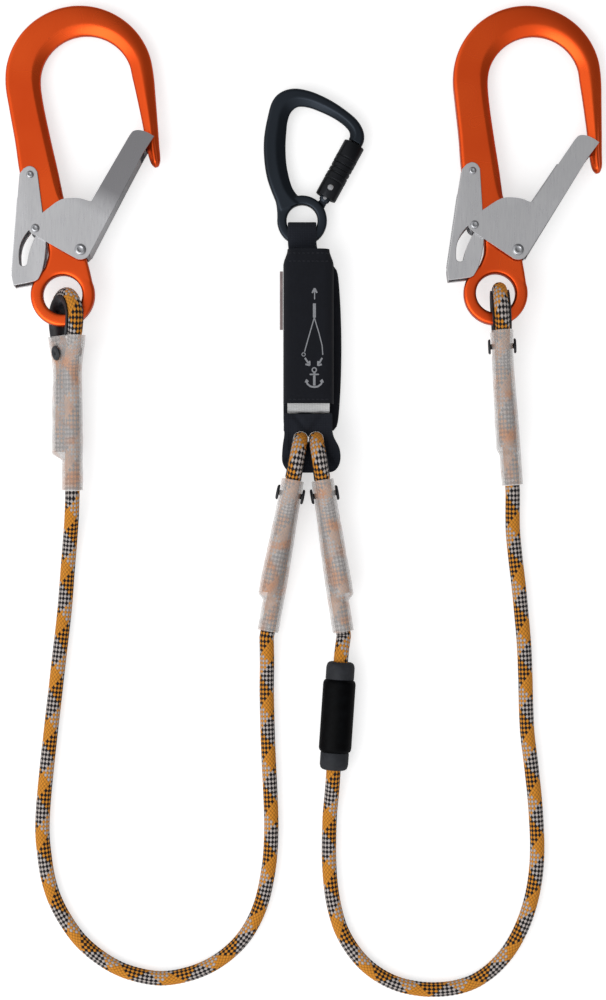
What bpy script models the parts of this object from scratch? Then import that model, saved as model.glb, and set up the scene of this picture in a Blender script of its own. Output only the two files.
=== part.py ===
"""Twin shock-absorbing lanyard, laid flat: a tear-webbing absorber with an auto-locking
carabiner, two legs of kernmantle rope with sewn eyes, two scaffold hooks and a label tube.

Units are metres. +Z is up, +X runs across the lanyard and +Y towards the connectors. The
origin lies on the floor under the middle of the connectors, absorber and sewn rope ends.
"""
import math

import bmesh
import bpy
from mathutils import Matrix, Vector

# Clearances
GAP = 0.0003
RUNNING_GAP = 0.0003
FLOOR_GAP = 0.0003
CUTTER_OVERRUN = 0.020

# Rope and its sewn eyes
ROPE_DIAMETER = 0.011
ROPE_FLOOR_GAP = 0.0001
ROPE_POINT_SPACING = 0.022
STRAIGHT_START = 0.005
LOOP_RADIUS = 0.0170
LOOP_STEPS = 10
EYE_TAPER_LENGTH = 0.042
RUN_SPACING = 0.0118
SLEEVE_PLAY = 0.0013
SLEEVE_WALL = 0.0012
SLEEVE_START = 0.014
SLEEVE_WIDE_END = 0.101
SLEEVE_SHOULDER = 0.006
SLEEVE_END = 0.129
TAIL_SHORTFALL = 0.001
TWIST_START = 0.004
THIMBLE_WALL = 0.0014
THIMBLE_WRAP = math.radians(50.0)
THIMBLE_BACK_HALF = 0.0040
PIN_REACH = 0.025
PIN_SQUARE_STEP = 0.005
PIN_RADIUS = 0.0020
PIN_DISC_RADIUS = 0.0056
PIN_DISC_THICKNESS = 0.0018

# Scaffold hook, in its own frame: origin at the ring's centre, +Y towards the bowl
RING_HOLE_RADIUS = 0.0146
RING_OUTER_RADIUS = 0.0240
RING_THICKNESS = 0.0100
HOOK_THICKNESS = 0.0120
BOWL_OUTER_CENTRE = (0.0270, 0.1618)
BOWL_OUTER_RADIUS = 0.0556
BOWL_INNER_CENTRE = (0.0320, 0.1595)
BOWL_INNER_RADIUS = 0.0345
BOWL_STEPS = 12
HOOK_EDGE_ROUND = 0.0025
NECK_LEFT = (
    (-0.0140, 0.0165), (-0.0116, 0.0214), (-0.0085, 0.0290), (-0.0079, 0.0341),
    (-0.0085, 0.0430), (-0.0094, 0.0514), (-0.0116, 0.0641), (-0.0160, 0.0720),
    (-0.0206, 0.0791), (-0.0236, 0.0930), (-0.0252, 0.1190), (-0.0275, 0.1450),
)
NECK_RIGHT = (
    (0.0140, 0.0165), (0.0165, 0.0192), (0.0203, 0.0250), (0.0228, 0.0330),
    (0.0212, 0.0428), (0.0175, 0.0535), (0.0105, 0.0660), (0.0072, 0.0727),
    (0.0062, 0.0800), (0.0047, 0.0930), (0.0012, 0.1190), (-0.0018, 0.1450),
)
NOSE_OUTER = (
    (0.0826, 0.1420), (0.0823, 0.1200), (0.0820, 0.1052), (0.0817, 0.0942), (0.0802, 0.0900),
)
NOSE_INNER = (
    (0.0684, 0.1450), (0.0712, 0.1199), (0.0724, 0.1052), (0.0746, 0.0927), (0.0772, 0.0892),
)
GUSSET = ((0.0135, 0.0160), (0.0232, 0.0060), (0.0218, 0.0160), (0.0203, 0.0252))

# Gate, lever and their pivots, in the hook's frame
SHEET = 0.0015
GATE_PIVOT = (0.0168, 0.0313)
HEEL_PIN = (-0.0152, 0.0505)
LEVER_PIVOT = (-0.0157, 0.0916)
GATE_OPEN_DEG = 40.0
LEVER_RATIO = 0.14
GATE_WEB_OFFSET = 0.0083
GATE_WEB_LEAN_DEG = 57.5
GATE_WEB_BACK = 0.0010
GATE_WEB_LENGTH = 0.0858
GATE_BOSS_RADIUS = 0.0075
GATE_BOSS_OVERRUN = 0.15
HEEL_BOSS_RADIUS = 0.0048
GATE_TIP_CUT = 0.0942
GATE_TAB_LOW = 0.1022
GATE_TAB_HIGH = 0.1092
GATE_TAB_THICKNESS = 0.0022
GATE_CROWN = (
    (0.0791, 0.1111), (0.0735, 0.1150), (0.0680, 0.1169), (0.0640, 0.1165), (0.0609, 0.1135),
    (0.0293, 0.0685), (0.0278, 0.0669), (0.0210, 0.0694), (0.0143, 0.0706), (0.0056, 0.0701),
    (-0.0101, 0.0608),
)
LEVER_OUTLINE = (
    (-0.0236, 0.0930), (-0.0262, 0.0780), (-0.0362, 0.0174), (-0.0354, 0.0095),
    (-0.0250, 0.0105), (-0.0164, 0.0127), (-0.0086, 0.0364), (-0.0090, 0.0664),
    (-0.0101, 0.0932), (-0.0122, 0.0966), (-0.0160, 0.0982), (-0.0200, 0.0968),
)
LEVER_WEB_TOP = 0.0800
SLOT_EXTRA = 0.0020
PIVOT_RADIUS = 0.0030
PIVOT_HEAD_RADIUS = 0.0042
HEEL_PIN_RADIUS = 0.0023
HEEL_HEAD_RADIUS = 0.0031
LEVER_PIN_RADIUS = 0.0022
LEVER_HEAD_RADIUS = 0.0027
HEAD_HEIGHT = 0.0016
SPRING_WIRE = 0.0010
SPRING_TURNS = 3
SPRING_PITCH = 0.0018
SPRING_PLAY = 0.0007
GATE_POCKET_REACH = 0.012
LEVER_POCKET_REACH = 0.014

# Where each hook hangs: rope eye's centre, heading of the sleeve, how far the ring lies back
# and down in the eye, place in the ring, turn
LEFT_EYE = (-0.1793, -0.0010)
LEFT_HEADING_DEG = 0.0
LEFT_RING_SEAT = (0.0025, 0.0)
LEFT_RING_BEARING_DEG = 8.0
LEFT_TURN_DEG = 5.5
LEFT_ROLL_DEG = (150.0, 135.0)
RIGHT_EYE = (0.1450, 0.0026)
RIGHT_HEADING_DEG = 3.8
RIGHT_RING_SEAT = (0.0045, 0.0041)
RIGHT_RING_BEARING_DEG = 14.0
RIGHT_TURN_DEG = 0.9
RIGHT_ROLL_DEG = (2.0, 15.0)

# Absorber's two rope eyes
ABSORBER_EYE_MIDDLE = (0.0013, -0.1086)
ABSORBER_EYE_SPACING = 0.0172
ABSORBER_LEFT_HEADING_DEG = -10.6
ABSORBER_RIGHT_HEADING_DEG = 8.9
ABSORBER_LEFT_ROLL_DEG = (0.0, 22.0)
ABSORBER_RIGHT_ROLL_DEG = (0.0, -20.0)

# Free stretches of rope: chosen points along the floor between the sewn ends
ROPE_LEFT_ROUTE = (
    (-0.1759, -0.1480), (-0.1777, -0.1673), (-0.1798, -0.1913), (-0.1820, -0.2198),
    (-0.1854, -0.2498), (-0.1888, -0.2798), (-0.1922, -0.3098), (-0.1955, -0.3398),
    (-0.1982, -0.3698), (-0.1987, -0.3886), (-0.1974, -0.4036), (-0.1944, -0.4223),
    (-0.1892, -0.4388), (-0.1813, -0.4538), (-0.1704, -0.4688), (-0.1569, -0.4808),
    (-0.1412, -0.4902), (-0.1254, -0.4955), (-0.1097, -0.4977), (-0.0924, -0.4955),
    (-0.0759, -0.4898), (-0.0617, -0.4812), (-0.0493, -0.4696), (-0.0403, -0.4561),
    (-0.0339, -0.4411), (-0.0298, -0.4238), (-0.0272, -0.4058), (-0.0263, -0.3848),
    (-0.0268, -0.3623), (-0.0281, -0.3361), (-0.0292, -0.3061), (-0.0297, -0.2798),
    (-0.0295, -0.2610),
)
LEFT_ROUTE_RISE = (0.0072, 0.0020)
ROPE_RIGHT_ROUTE = (
    (0.0179, -0.3736), (0.0173, -0.3886), (0.0173, -0.4088), (0.0186, -0.4283),
    (0.0216, -0.4456), (0.0265, -0.4613), (0.0336, -0.4741), (0.0434, -0.4861),
    (0.0554, -0.4955), (0.0696, -0.5022), (0.0854, -0.5056), (0.0974, -0.5062),
    (0.1116, -0.5048), (0.1259, -0.5003), (0.1386, -0.4921), (0.1499, -0.4805),
    (0.1585, -0.4673), (0.1652, -0.4523), (0.1701, -0.4358), (0.1730, -0.4186),
    (0.1741, -0.3998), (0.1735, -0.3811), (0.1720, -0.3601), (0.1694, -0.3361),
    (0.1667, -0.3136), (0.1656, -0.2911), (0.1651, -0.2686), (0.1641, -0.2461),
    (0.1622, -0.2236), (0.1600, -0.2011), (0.1574, -0.1786), (0.1557, -0.1600),
)

# Label tube on the right leg
TUBE_CENTRE = (0.0233, -0.2993)
TUBE_TURN_DEG = -3.9
COLLAR_RADIUS = 0.0107
COLLAR_LENGTH = 0.0130
COLLAR_SPIGOT = 0.0180
TUBE_BORE_RADIUS = 0.0070
COVER_RADIUS = 0.01225
COVER_LENGTH = 0.0545
COVER_CHAMFER = 0.0016
COVER_WALL = 0.0022
TUBE_TRAVEL = 0.006
TUBE_LEAD = 0.003

# Absorber pouch and webbing
POUCH_MIDDLE_X = 0.0017
POUCH_WIDTH = 0.0378
POUCH_TOP_WIDTH = 0.0315
POUCH_TOP = 0.0500
POUCH_BOTTOM = -0.0653
POUCH_WALL = 0.0024
POUCH_CORNER = 0.0045
BACK_THICKNESS = 0.0090
BACK_TOP = 0.0390
BACK_BOTTOM = -0.0850
BACK_SIDE_BULGE = 0.0060
PACK_WIDTH = 0.0322
PACK_THICKNESS = 0.0165
PACK_TOP = 0.0380
PACK_BOTTOM = -0.0725
UPPER_WEB_WIDTH = 0.0215
UPPER_WEB_THICKNESS = 0.0022
LOWER_WEB_LEG = 0.0030
LOWER_WEB_THICKNESS = 0.0088
LOWER_WEB_DEPTH = 0.0162
LOWER_WEB_TOP_CLEAR = 0.0018
WEB_FOLD_STEP = 0.0004
LEFT_LOBE = 0.0012
RIGHT_LOBE = 0.0060
BOOKLET_SIZE = (0.0022, 0.0430, 0.0110)
BOOKLET_MIDDLE_Y = 0.0120

# Carabiner, in its own frame: origin at the captive eye's centre
CARABINER_PLACE = (-0.0031, 0.0728)
EYE_HOLE_RADIUS = 0.0116
EYE_OUTER_RADIUS = 0.0188
EYE_THICKNESS = 0.0096
CARABINER_THICKNESS = 0.0110
CARABINER_EDGE_ROUND = 0.0030
GATE_HINGE = (0.0172, 0.0166)
GATE_LEAN_DEG = 28.6
LOCK_SLEEVE_RADIUS = 0.0082
LOCK_SLEEVE_LENGTH = 0.0460
LOCK_SLEEVE_START = 0.0005
GATE_ROD_RADIUS = 0.0050
GATE_ROD_WAIST = 0.0036
LUG_WIDTH = 0.0058
LUG_THICKNESS = 0.0056
LUG_ROOT = 0.010
HINGE_PIN_RADIUS = 0.0014
CARABINER_GATE_OPEN_DEG = 22.0
NOSE_FACE_HALF = 0.0056
PLUNGER_RADIUS = 0.0012
PLUNGER_LENGTH = 0.0045
PLUNGER_SPRING_LENGTH = 0.0100
SLEEVE_RIVET_REACH = 0.0085
SLEEVE_RIVET_RADIUS = 0.0023
GRIP_GROOVE_DEPTH = 0.0006
GRIP_GROOVE_WIDTH = 0.0014
GRIP_GROOVE_REACHES = (0.0205, 0.0245, 0.0285)
CARABINER_OUTER = (
    (0.0467, 0.0605), (0.0462, 0.0668), (0.0420, 0.0746), (0.0315, 0.0837), (0.0189, 0.0916),
    (0.0052, 0.0973), (-0.0070, 0.0990), (-0.0164, 0.0960), (-0.0222, 0.0898),
    (-0.0258, 0.0780), (-0.0286, 0.0620), (-0.0286, 0.0470), (-0.0266, 0.0330),
    (-0.0232, 0.0225), (-0.0198, 0.0142), (-0.0172, 0.0068),
)
CARABINER_INNER = (
    (0.0360, 0.0635), (0.0356, 0.0666), (0.0326, 0.0706), (0.0255, 0.0760), (0.0145, 0.0815),
    (0.0040, 0.0852), (-0.0035, 0.0854), (-0.0083, 0.0815), (-0.0108, 0.0750),
    (-0.0118, 0.0665), (-0.0124, 0.0560), (-0.0119, 0.0440), (-0.0103, 0.0345),
    (-0.0070, 0.0240), (-0.0020, 0.0176), (0.0030, 0.0145),
)

ROPE_RADIUS = ROPE_DIAMETER / 2
SLEEVE_RADIUS = ROPE_RADIUS + SLEEVE_PLAY + SLEEVE_WALL
TAIL_END = SLEEVE_WIDE_END - TAIL_SHORTFALL
HALF_HOOK = HOOK_THICKNESS / 2
LEVER_HALF = HALF_HOOK + RUNNING_GAP + SHEET
GATE_HALF = LEVER_HALF + RUNNING_GAP + SHEET
SEGMENTS = 22
BORE_SEGMENTS = 14


def material(name, colour, roughness, metallic=0.0):
    """Return a Principled material of one colour."""
    made = bpy.data.materials.new(name)
    made.use_nodes = True
    shader = made.node_tree.nodes["Principled BSDF"]
    shader.inputs["Base Color"].default_value = (*colour, 1.0)
    shader.inputs["Roughness"].default_value = roughness
    shader.inputs["Metallic"].default_value = metallic
    return made


def finishes():
    """Return the finishes by plain name."""
    return {
        "orange": material("orange_anodised", (0.69, 0.065, 0.005), 0.35, 0.7),
        "steel": material("stainless_sheet", (0.42, 0.43, 0.44), 0.3, 1.0),
        "rivet": material("rivet_steel", (0.5, 0.5, 0.5), 0.25, 1.0),
        "black": material("black_anodised", (0.012, 0.015, 0.02), 0.4, 0.6),
        "plastic": material("black_plastic", (0.01, 0.01, 0.012), 0.5),
        "grey": material("grey_collar", (0.035, 0.037, 0.042), 0.5),
        "milky": material("milky_sleeve", (0.46, 0.43, 0.43), 0.4),
        "rope": material("rope_sheath", (0.6, 0.3, 0.05), 0.8),
        "fabric": material("black_fabric", (0.012, 0.013, 0.016), 0.9),
        "white": material("white_webbing", (0.75, 0.75, 0.74), 0.85),
    }


def point_at(centre, radius, angle):
    """Return the point of a circle at an angle."""
    return (centre[0] + radius * math.cos(angle), centre[1] + radius * math.sin(angle))


def arc(centre, radius, start, end, steps):
    """Return points of an arc, both ends included."""
    return [point_at(centre, radius, start + (end - start) * i / steps) for i in range(steps + 1)]


def smooth_step(value):
    """Return an eased 0 to 1."""
    value = min(1.0, max(0.0, value))
    return value * value * (3 - 2 * value)


def interpolate(points, y):
    """Return x at a height y along a chain of points that falls in y."""
    for (x0, y0), (x1, y1) in zip(points, points[1:]):
        if y1 <= y <= y0:
            return x0 + (x1 - x0) * (y0 - y) / (y0 - y1)
    return points[-1][0]


def mesh_object(name, vertices, faces, finish, parent=None):
    """Make an object from points and faces, with its faces pointing out."""
    mesh = bpy.data.meshes.new(name)
    work = bmesh.new()
    made = [work.verts.new(v) for v in vertices]
    for face in faces:
        work.faces.new([made[i] for i in face])
    bmesh.ops.recalc_face_normals(work, faces=work.faces)
    work.to_mesh(mesh)
    work.free()
    mesh.shade_smooth()
    mesh.set_sharp_from_angle(angle=math.radians(35))
    mesh.materials.append(finish)
    made_object = bpy.data.objects.new(name, mesh)
    bpy.context.scene.collection.objects.link(made_object)
    made_object.parent = parent
    return made_object


def empty(name, location, turn=0.0, tilt=0.0, parent=None):
    """Make an empty, turned about Z after a tilt about X."""
    made = bpy.data.objects.new(name, None)
    bpy.context.scene.collection.objects.link(made)
    matrix = Matrix.Translation(location) @ Matrix.Rotation(turn, 4, "Z") @ Matrix.Rotation(tilt, 4, "X")
    made.parent = parent
    made.matrix_basis = matrix
    made.empty_display_size = 0.01
    return made


def prism_data(outline, low, high):
    """Return points and faces of an outline drawn from one height to another."""
    count = len(outline)
    vertices = [(x, y, low) for x, y in outline] + [(x, y, high) for x, y in outline]
    faces = [tuple(range(count))[::-1], tuple(range(count, 2 * count))]
    faces += [(i, (i + 1) % count, count + (i + 1) % count, count + i) for i in range(count)]
    return vertices, faces


def prism(name, outline, low, high, finish, parent=None):
    """Make a flat piece from its outline."""
    vertices, faces = prism_data(outline, low, high)
    return mesh_object(name, vertices, faces, finish, parent)


def loft_data(sections, closed=False):
    """Return points and faces that join rings of equally many points."""
    count = len(sections[0])
    vertices = [tuple(v) for ring in sections for v in ring]
    faces = []
    spans = len(sections) if closed else len(sections) - 1
    for s in range(spans):
        a = s * count
        b = ((s + 1) % len(sections)) * count
        faces += [(a + i, a + (i + 1) % count, b + (i + 1) % count, b + i) for i in range(count)]
    if not closed:
        last = (len(sections) - 1) * count
        faces.append(tuple(range(count))[::-1])
        faces.append(tuple(range(last, last + count)))
    return vertices, faces


def loft(name, sections, finish, parent=None, closed=False):
    """Make a piece through a row of rings."""
    vertices, faces = loft_data(sections, closed)
    return mesh_object(name, vertices, faces, finish, parent)


def shell_loft(name, outer, inner, finish, parent=None):
    """Make an open ended shell between an outer and an inner row of rings."""
    count = len(outer[0])
    rings = len(outer)
    vertices = [tuple(v) for ring in outer for v in ring] + [tuple(v) for ring in inner for v in ring]
    base = rings * count
    faces = []
    for s in range(rings - 1):
        for i in range(count):
            j = (i + 1) % count
            a = s * count
            b = a + count
            faces.append((a + i, a + j, b + j, b + i))
            faces.append((base + a + j, base + a + i, base + b + i, base + b + j))
    for s in (0, rings - 1):
        a = s * count
        faces += [(a + i, a + (i + 1) % count, base + a + (i + 1) % count, base + a + i)
                  for i in range(count)]
    return mesh_object(name, vertices, faces, finish, parent)


def lathe(name, profile, finish, parent=None, segments=SEGMENTS):
    """Turn a closed profile of (radius, height) about Z. Profiles on the axis get a pole."""
    sections = []
    for i in range(segments):
        angle = 2 * math.pi * i / segments
        sections.append([(r * math.cos(angle), r * math.sin(angle), z) for r, z in profile])
    vertices, faces = loft_data(sections, closed=True)
    made = mesh_object(name, vertices, faces, finish, parent)
    work = bmesh.new()
    work.from_mesh(made.data)
    bmesh.ops.remove_doubles(work, verts=work.verts, dist=1e-6)
    bmesh.ops.dissolve_degenerate(work, edges=work.edges, dist=1e-7)
    bmesh.ops.recalc_face_normals(work, faces=work.faces)
    work.to_mesh(made.data)
    work.free()
    return made


def hide_tool(tool):
    """Mark an object as a cutter or guide."""
    tool.hide_render = True
    tool.display_type = "WIRE"


def combine(target, tool, operation="DIFFERENCE"):
    """Cut or join a piece with a hidden tool."""
    hide_tool(tool)
    modifier = target.modifiers.new(operation.lower(), "BOOLEAN")
    modifier.operation = operation
    modifier.object = tool
    modifier.solver = "EXACT"


def drill(target, name, centre, radius, low, high, parent=None):
    """Cut a round hole along the parent's Z."""
    tool = prism(name, arc(centre, radius, 0, 2 * math.pi, BORE_SEGMENTS)[:-1], low, high, None, parent)
    combine(target, tool)


def bevel(target, width, segments=2, angle=35.0):
    """Round a piece's sharp edges."""
    modifier = target.modifiers.new("edge", "BEVEL")
    modifier.width = width
    modifier.segments = segments
    modifier.limit_method = "ANGLE"
    modifier.angle_limit = math.radians(angle)
    return modifier


def tube(name, points, radius, finish, parent=None, resolution=2, closed=False):
    """Make a round tube along points, as a curve with capped ends."""
    curve = bpy.data.curves.new(name, "CURVE")
    curve.dimensions = "3D"
    curve.bevel_depth = radius
    curve.bevel_resolution = resolution
    curve.resolution_u = 1
    curve.use_fill_caps = not closed
    spline = curve.splines.new("POLY")
    spline.points.add(len(points) - 1)
    for place, point in zip(spline.points, points):
        place.co = (*point, 1.0)
    spline.use_cyclic_u = closed
    curve.materials.append(finish)
    made = bpy.data.objects.new(name, curve)
    bpy.context.scene.collection.objects.link(made)
    made.parent = parent
    return made


def smooth_route(points, spacing):
    """Return evenly spaced points on a smooth curve through chosen points."""
    points = [Vector(p) for p in points]
    padded = [points[0] * 2 - points[1]] + points + [points[-1] * 2 - points[-2]]
    fine = []
    for a, b, c, d in zip(padded, padded[1:], padded[2:], padded[3:]):
        t1 = (b - a).length ** 0.5
        t2 = t1 + (c - b).length ** 0.5
        t3 = t2 + (d - c).length ** 0.5
        for step in range(12):
            t = t1 + (t2 - t1) * step / 12
            ab = a * ((t1 - t) / t1) + b * (t / t1)
            bc = b * ((t2 - t) / (t2 - t1)) + c * ((t - t1) / (t2 - t1))
            cd = c * ((t3 - t) / (t3 - t2)) + d * ((t - t2) / (t3 - t2))
            abc = ab * ((t2 - t) / t2) + bc * (t / t2)
            bcd = bc * ((t3 - t) / (t3 - t1)) + cd * ((t - t1) / (t3 - t1))
            fine.append(abc * ((t2 - t) / (t2 - t1)) + bcd * ((t - t1) / (t2 - t1)))
    fine.append(points[-1])
    lengths = [0.0]
    for a, b in zip(fine, fine[1:]):
        lengths.append(lengths[-1] + (b - a).length)
    count = max(2, round(lengths[-1] / spacing))
    result = []
    index = 0
    for step in range(count + 1):
        want = lengths[-1] * step / count
        while index < len(fine) - 2 and lengths[index + 1] < want:
            index += 1
        share = (want - lengths[index]) / max(1e-9, lengths[index + 1] - lengths[index])
        result.append(fine[index].lerp(fine[index + 1], min(1.0, share)))
    return result


class RopeEnd:
    """A sewn eye: where its two runs, its twist and its sleeve lie."""

    def __init__(self, name, centre, heading_deg, roll_deg):
        self.name = name
        heading = math.radians(heading_deg)
        self.down = Vector((math.sin(heading), -math.cos(heading), 0.0))
        self.side = Vector((math.cos(heading), math.sin(heading), 0.0))
        self.roll = [math.radians(angle) for angle in roll_deg]
        self.centre_xy = Vector((centre[0], centre[1], 0.0))

    def half_spacing(self, reach):
        """Return half the distance between the runs."""
        narrow = RUN_SPACING / 2
        share = min(1.0, max(0.0, reach / EYE_TAPER_LENGTH))
        return narrow + (LOOP_RADIUS - narrow) * 0.5 * (1 + math.cos(math.pi * share))

    def stack(self, reach):
        """Return the direction from the main run to the tail."""
        share = smooth_step((reach - TWIST_START) / (SLEEVE_WIDE_END - TWIST_START))
        angle = self.roll[0] + (self.roll[1] - self.roll[0]) * share
        return self.side * -math.sin(angle) + Vector((0, 0, math.cos(angle)))

    def middle(self, reach):
        """Return the point midway between the runs, the lower run kept at the floor."""
        height = FLOOR_GAP + SLEEVE_RADIUS + self.half_spacing(reach) * abs(self.stack(reach).z)
        return self.centre_xy + self.down * reach + Vector((0, 0, height))

    def main(self, reach):
        """Return the main run's middle."""
        return self.middle(reach) - self.stack(reach) * self.half_spacing(reach)

    def tail(self, reach):
        """Return the tail's middle."""
        return self.middle(reach) + self.stack(reach) * self.half_spacing(reach)

    def loop(self, angle, radius=LOOP_RADIUS):
        """Return a point of the bight, from the main run at 0 to the tail at pi."""
        inward = self.stack(0) * -math.cos(angle) - self.down * math.sin(angle)
        return self.middle(0) + inward * radius

    def across(self, reach):
        """Return the direction of the pin."""
        return self.down.cross(self.stack(reach)).normalized()

    def leg_reaches(self):
        """Return the steps of the bight's legs, down to the sleeve's mouth."""
        return [SLEEVE_START * i / 3 for i in range(1, 4)]

    def twist_rate(self):
        """Return the twist at the pin, in radians a metre."""
        before = self.stack(PIN_REACH - PIN_DISC_RADIUS)
        after = self.stack(PIN_REACH + PIN_DISC_RADIUS)
        return before.angle(after) / (2 * PIN_DISC_RADIUS)

    def run(self, reach, side):
        """Return the tail's middle for a positive side, else the main run's."""
        return self.tail(reach) if side > 0 else self.main(reach)

    def run_direction(self, reach, side):
        """Return the direction in which a run leads away from the bight."""
        step = 0.0005
        return (self.run(reach + step, side) - self.run(reach - step, side)).normalized()

    def leg_frame(self, reach, side):
        """Return a run's middle, its direction away from the other run, and the pin's direction."""
        direction = self.run_direction(reach, side)
        outward = self.stack(reach) * side
        outward = (outward - direction * outward.dot(direction)).normalized()
        return self.run(reach, side), outward, direction.cross(outward) * side

    def rope_points(self):
        """Return the middle line of the eye's own rope, from the free rope to the tail's end."""
        reaches = self.leg_reaches()[:-1] + self.sleeve_reaches()
        points = [self.main(reach) for reach in reversed(reaches)]
        points += [self.loop(math.pi * i / LOOP_STEPS) for i in range(LOOP_STEPS + 1)]
        points += [self.tail(reach) for reach in reaches if reach < TAIL_END]
        points.append(self.tail(TAIL_END))
        return points

    def sleeve_ring(self, reach, radius):
        """Return one ring of the sleeve's section."""
        shoulder = 1 - smooth_step((reach - SLEEVE_WIDE_END) / SLEEVE_SHOULDER)
        stack = self.stack(reach)
        across = self.across(reach)
        main = self.main(reach)
        tail = main + stack * (2 * self.half_spacing(reach) * shoulder)
        ring = []
        for centre, start, side in ((tail, 0.0, 1), (main, math.pi, -1)):
            stretch = radius / abs(self.run_direction(reach, side).dot(self.down))
            for i in range(7):
                angle = start + math.pi * i / 6
                ring.append(centre + across * (math.cos(angle) * radius)
                            + stack * (math.sin(angle) * stretch))
        return ring

    def sleeve_reaches(self):
        """Return where the sleeve's rings stand."""
        taper = [SLEEVE_START + (EYE_TAPER_LENGTH - SLEEVE_START) * i / 4 for i in range(5)]
        steps = 3 + round(abs(self.roll[1] - self.roll[0]) / math.radians(18))
        length = SLEEVE_WIDE_END - EYE_TAPER_LENGTH
        wide = [EYE_TAPER_LENGTH + length * i / steps for i in range(1, steps + 1)]
        step = [SLEEVE_WIDE_END + SLEEVE_SHOULDER * i / 3 for i in range(1, 4)]
        return taper + wide + step + [SLEEVE_END]

    def thimble_sections(self):
        """Return the thimble's rings along the inner side of the bight."""
        places = []
        for reach in reversed(self.leg_reaches()):
            places.append(self.leg_frame(reach, -1))
        for i in range(LOOP_STEPS + 1):
            angle = math.pi * i / LOOP_STEPS
            rope = self.loop(angle)
            places.append((rope, (rope - self.middle(0)).normalized(), self.across(0)))
        for reach in self.leg_reaches():
            places.append(self.leg_frame(reach, 1))
        groove = ROPE_RADIUS + GAP
        back = groove + THIMBLE_WALL
        sections = []
        for rope, outward, across in places:
            ring = []
            for i in range(7):
                angle = THIMBLE_WRAP * (i / 3 - 1)
                ring.append(rope - outward * (groove * math.cos(angle))
                            + across * (groove * math.sin(angle)))
            ring.append(rope - outward * back + across * THIMBLE_BACK_HALF)
            ring.append(rope - outward * back - across * THIMBLE_BACK_HALF)
            sections.append(ring)
        return sections

    def pin_frame(self):
        """Return the pin's matrix, Z along the pin, square to the sleeve's flank."""
        low = self.middle(PIN_REACH + PIN_SQUARE_STEP)
        high = self.middle(PIN_REACH - PIN_SQUARE_STEP)
        along = (low - high).normalized()
        across = along.cross(self.stack(PIN_REACH)).normalized()
        matrix = Matrix((along, across.cross(along), across)).transposed().to_4x4()
        return Matrix.Translation(self.middle(PIN_REACH)) @ matrix

    def build(self, looks):
        """Make the eye, thimble, pin and sleeve."""
        tube(self.name + "_rope_eye", self.rope_points(), ROPE_RADIUS, looks["rope"])
        loft(self.name + "_thimble", self.thimble_sections(), looks["plastic"])
        inner_face = SLEEVE_RADIUS + GAP + PIN_DISC_RADIUS * self.twist_rate() * PIN_DISC_RADIUS
        outer_face = inner_face + PIN_DISC_THICKNESS
        profile = [(0.0, -outer_face), (PIN_DISC_RADIUS * 0.8, -outer_face),
                   (PIN_DISC_RADIUS, -outer_face + PIN_DISC_THICKNESS * 0.4),
                   (PIN_DISC_RADIUS, -inner_face), (PIN_RADIUS, -inner_face),
                   (PIN_RADIUS, inner_face), (PIN_DISC_RADIUS, inner_face),
                   (PIN_DISC_RADIUS, outer_face - PIN_DISC_THICKNESS * 0.4),
                   (PIN_DISC_RADIUS * 0.8, outer_face), (0.0, outer_face)]
        pin = lathe(self.name + "_thimble_pin", profile, looks["plastic"], segments=14)
        pin.matrix_basis = self.pin_frame()
        reaches = self.sleeve_reaches()
        outer = [self.sleeve_ring(reach, SLEEVE_RADIUS) for reach in reaches]
        inner = [self.sleeve_ring(reach, SLEEVE_RADIUS - SLEEVE_WALL) for reach in reaches]
        sleeve = shell_loft(self.name + "_sleeve", outer, inner, looks["milky"])
        hole = arc((0, 0), PIN_RADIUS + GAP, 0, 2 * math.pi, 12)[:-1]
        tool = prism(self.name + "_pin_hole", hole, -2 * SLEEVE_RADIUS, 2 * SLEEVE_RADIUS, None)
        tool.matrix_basis = self.pin_frame()
        combine(sleeve, tool)


def hook_stations():
    """Return matched outer and inner edge points of the hook's body, ring end to nose tip."""
    outer = list(NECK_LEFT)
    inner = list(NECK_RIGHT)
    shares = [0.18] * 7 + [0.26, 0.30, 0.32, 0.34, 0.38]
    for i in range(BOWL_STEPS + 1):
        angle = math.pi * (1 - i / BOWL_STEPS)
        outer.append(point_at(BOWL_OUTER_CENTRE, BOWL_OUTER_RADIUS, angle))
        inner.append(point_at(BOWL_INNER_CENTRE, BOWL_INNER_RADIUS, angle))
        shares.append(0.40 + 0.10 * math.sin(math.pi * i / BOWL_STEPS))
    outer += NOSE_OUTER
    inner += NOSE_INNER
    shares += [0.36, 0.32, 0.30, 0.30, 0.30]
    return list(zip(outer, inner, shares))


def bar_section(outer, inner, half, edge, slope_share):
    """Return one ring of a forged bar: flat face, rounded outer edge, long inner slope."""
    outer = Vector((*outer, 0.0))
    inner = Vector((*inner, 0.0))
    width = (inner - outer).length
    edge = min(edge, width * 0.3)
    half = min(half, width * 0.9)
    slope = width * slope_share
    steps = [(0.0, half - edge), (edge * 0.3, half - edge * 0.3), (edge, half), (width - slope, half),
             (width - slope * 0.35, half * 0.80), (width, half * 0.32)]
    ring = [(d, z) for d, z in steps] + [(d, -z) for d, z in reversed(steps)]
    direction = (inner - outer).normalized()
    return [outer + direction * d + Vector((0, 0, z)) for d, z in ring]


def ring_profile(inner, outer, half, edge):
    """Return a closed ring section with rounded edges."""
    return [(inner, -half + edge), (inner + edge, -half), (outer - edge, -half), (outer, -half + edge),
            (outer, half - edge), (outer - edge, half), (inner + edge, half), (inner, half - edge)]


def rivet(name, place, radius, head_radius, seat, finish, parent):
    """Make a pin with a domed head on each side."""
    top = seat + HEAD_HEIGHT
    half = [(radius, seat), (head_radius, seat), (head_radius, seat + HEAD_HEIGHT * 0.5),
            (head_radius * 0.70, top), (0.0, top)]
    profile = [(r, -z) for r, z in reversed(half)] + half
    made = lathe(name, profile, finish, parent, segments=14)
    made.location = (place[0], place[1], 0.0)
    return made


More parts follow.
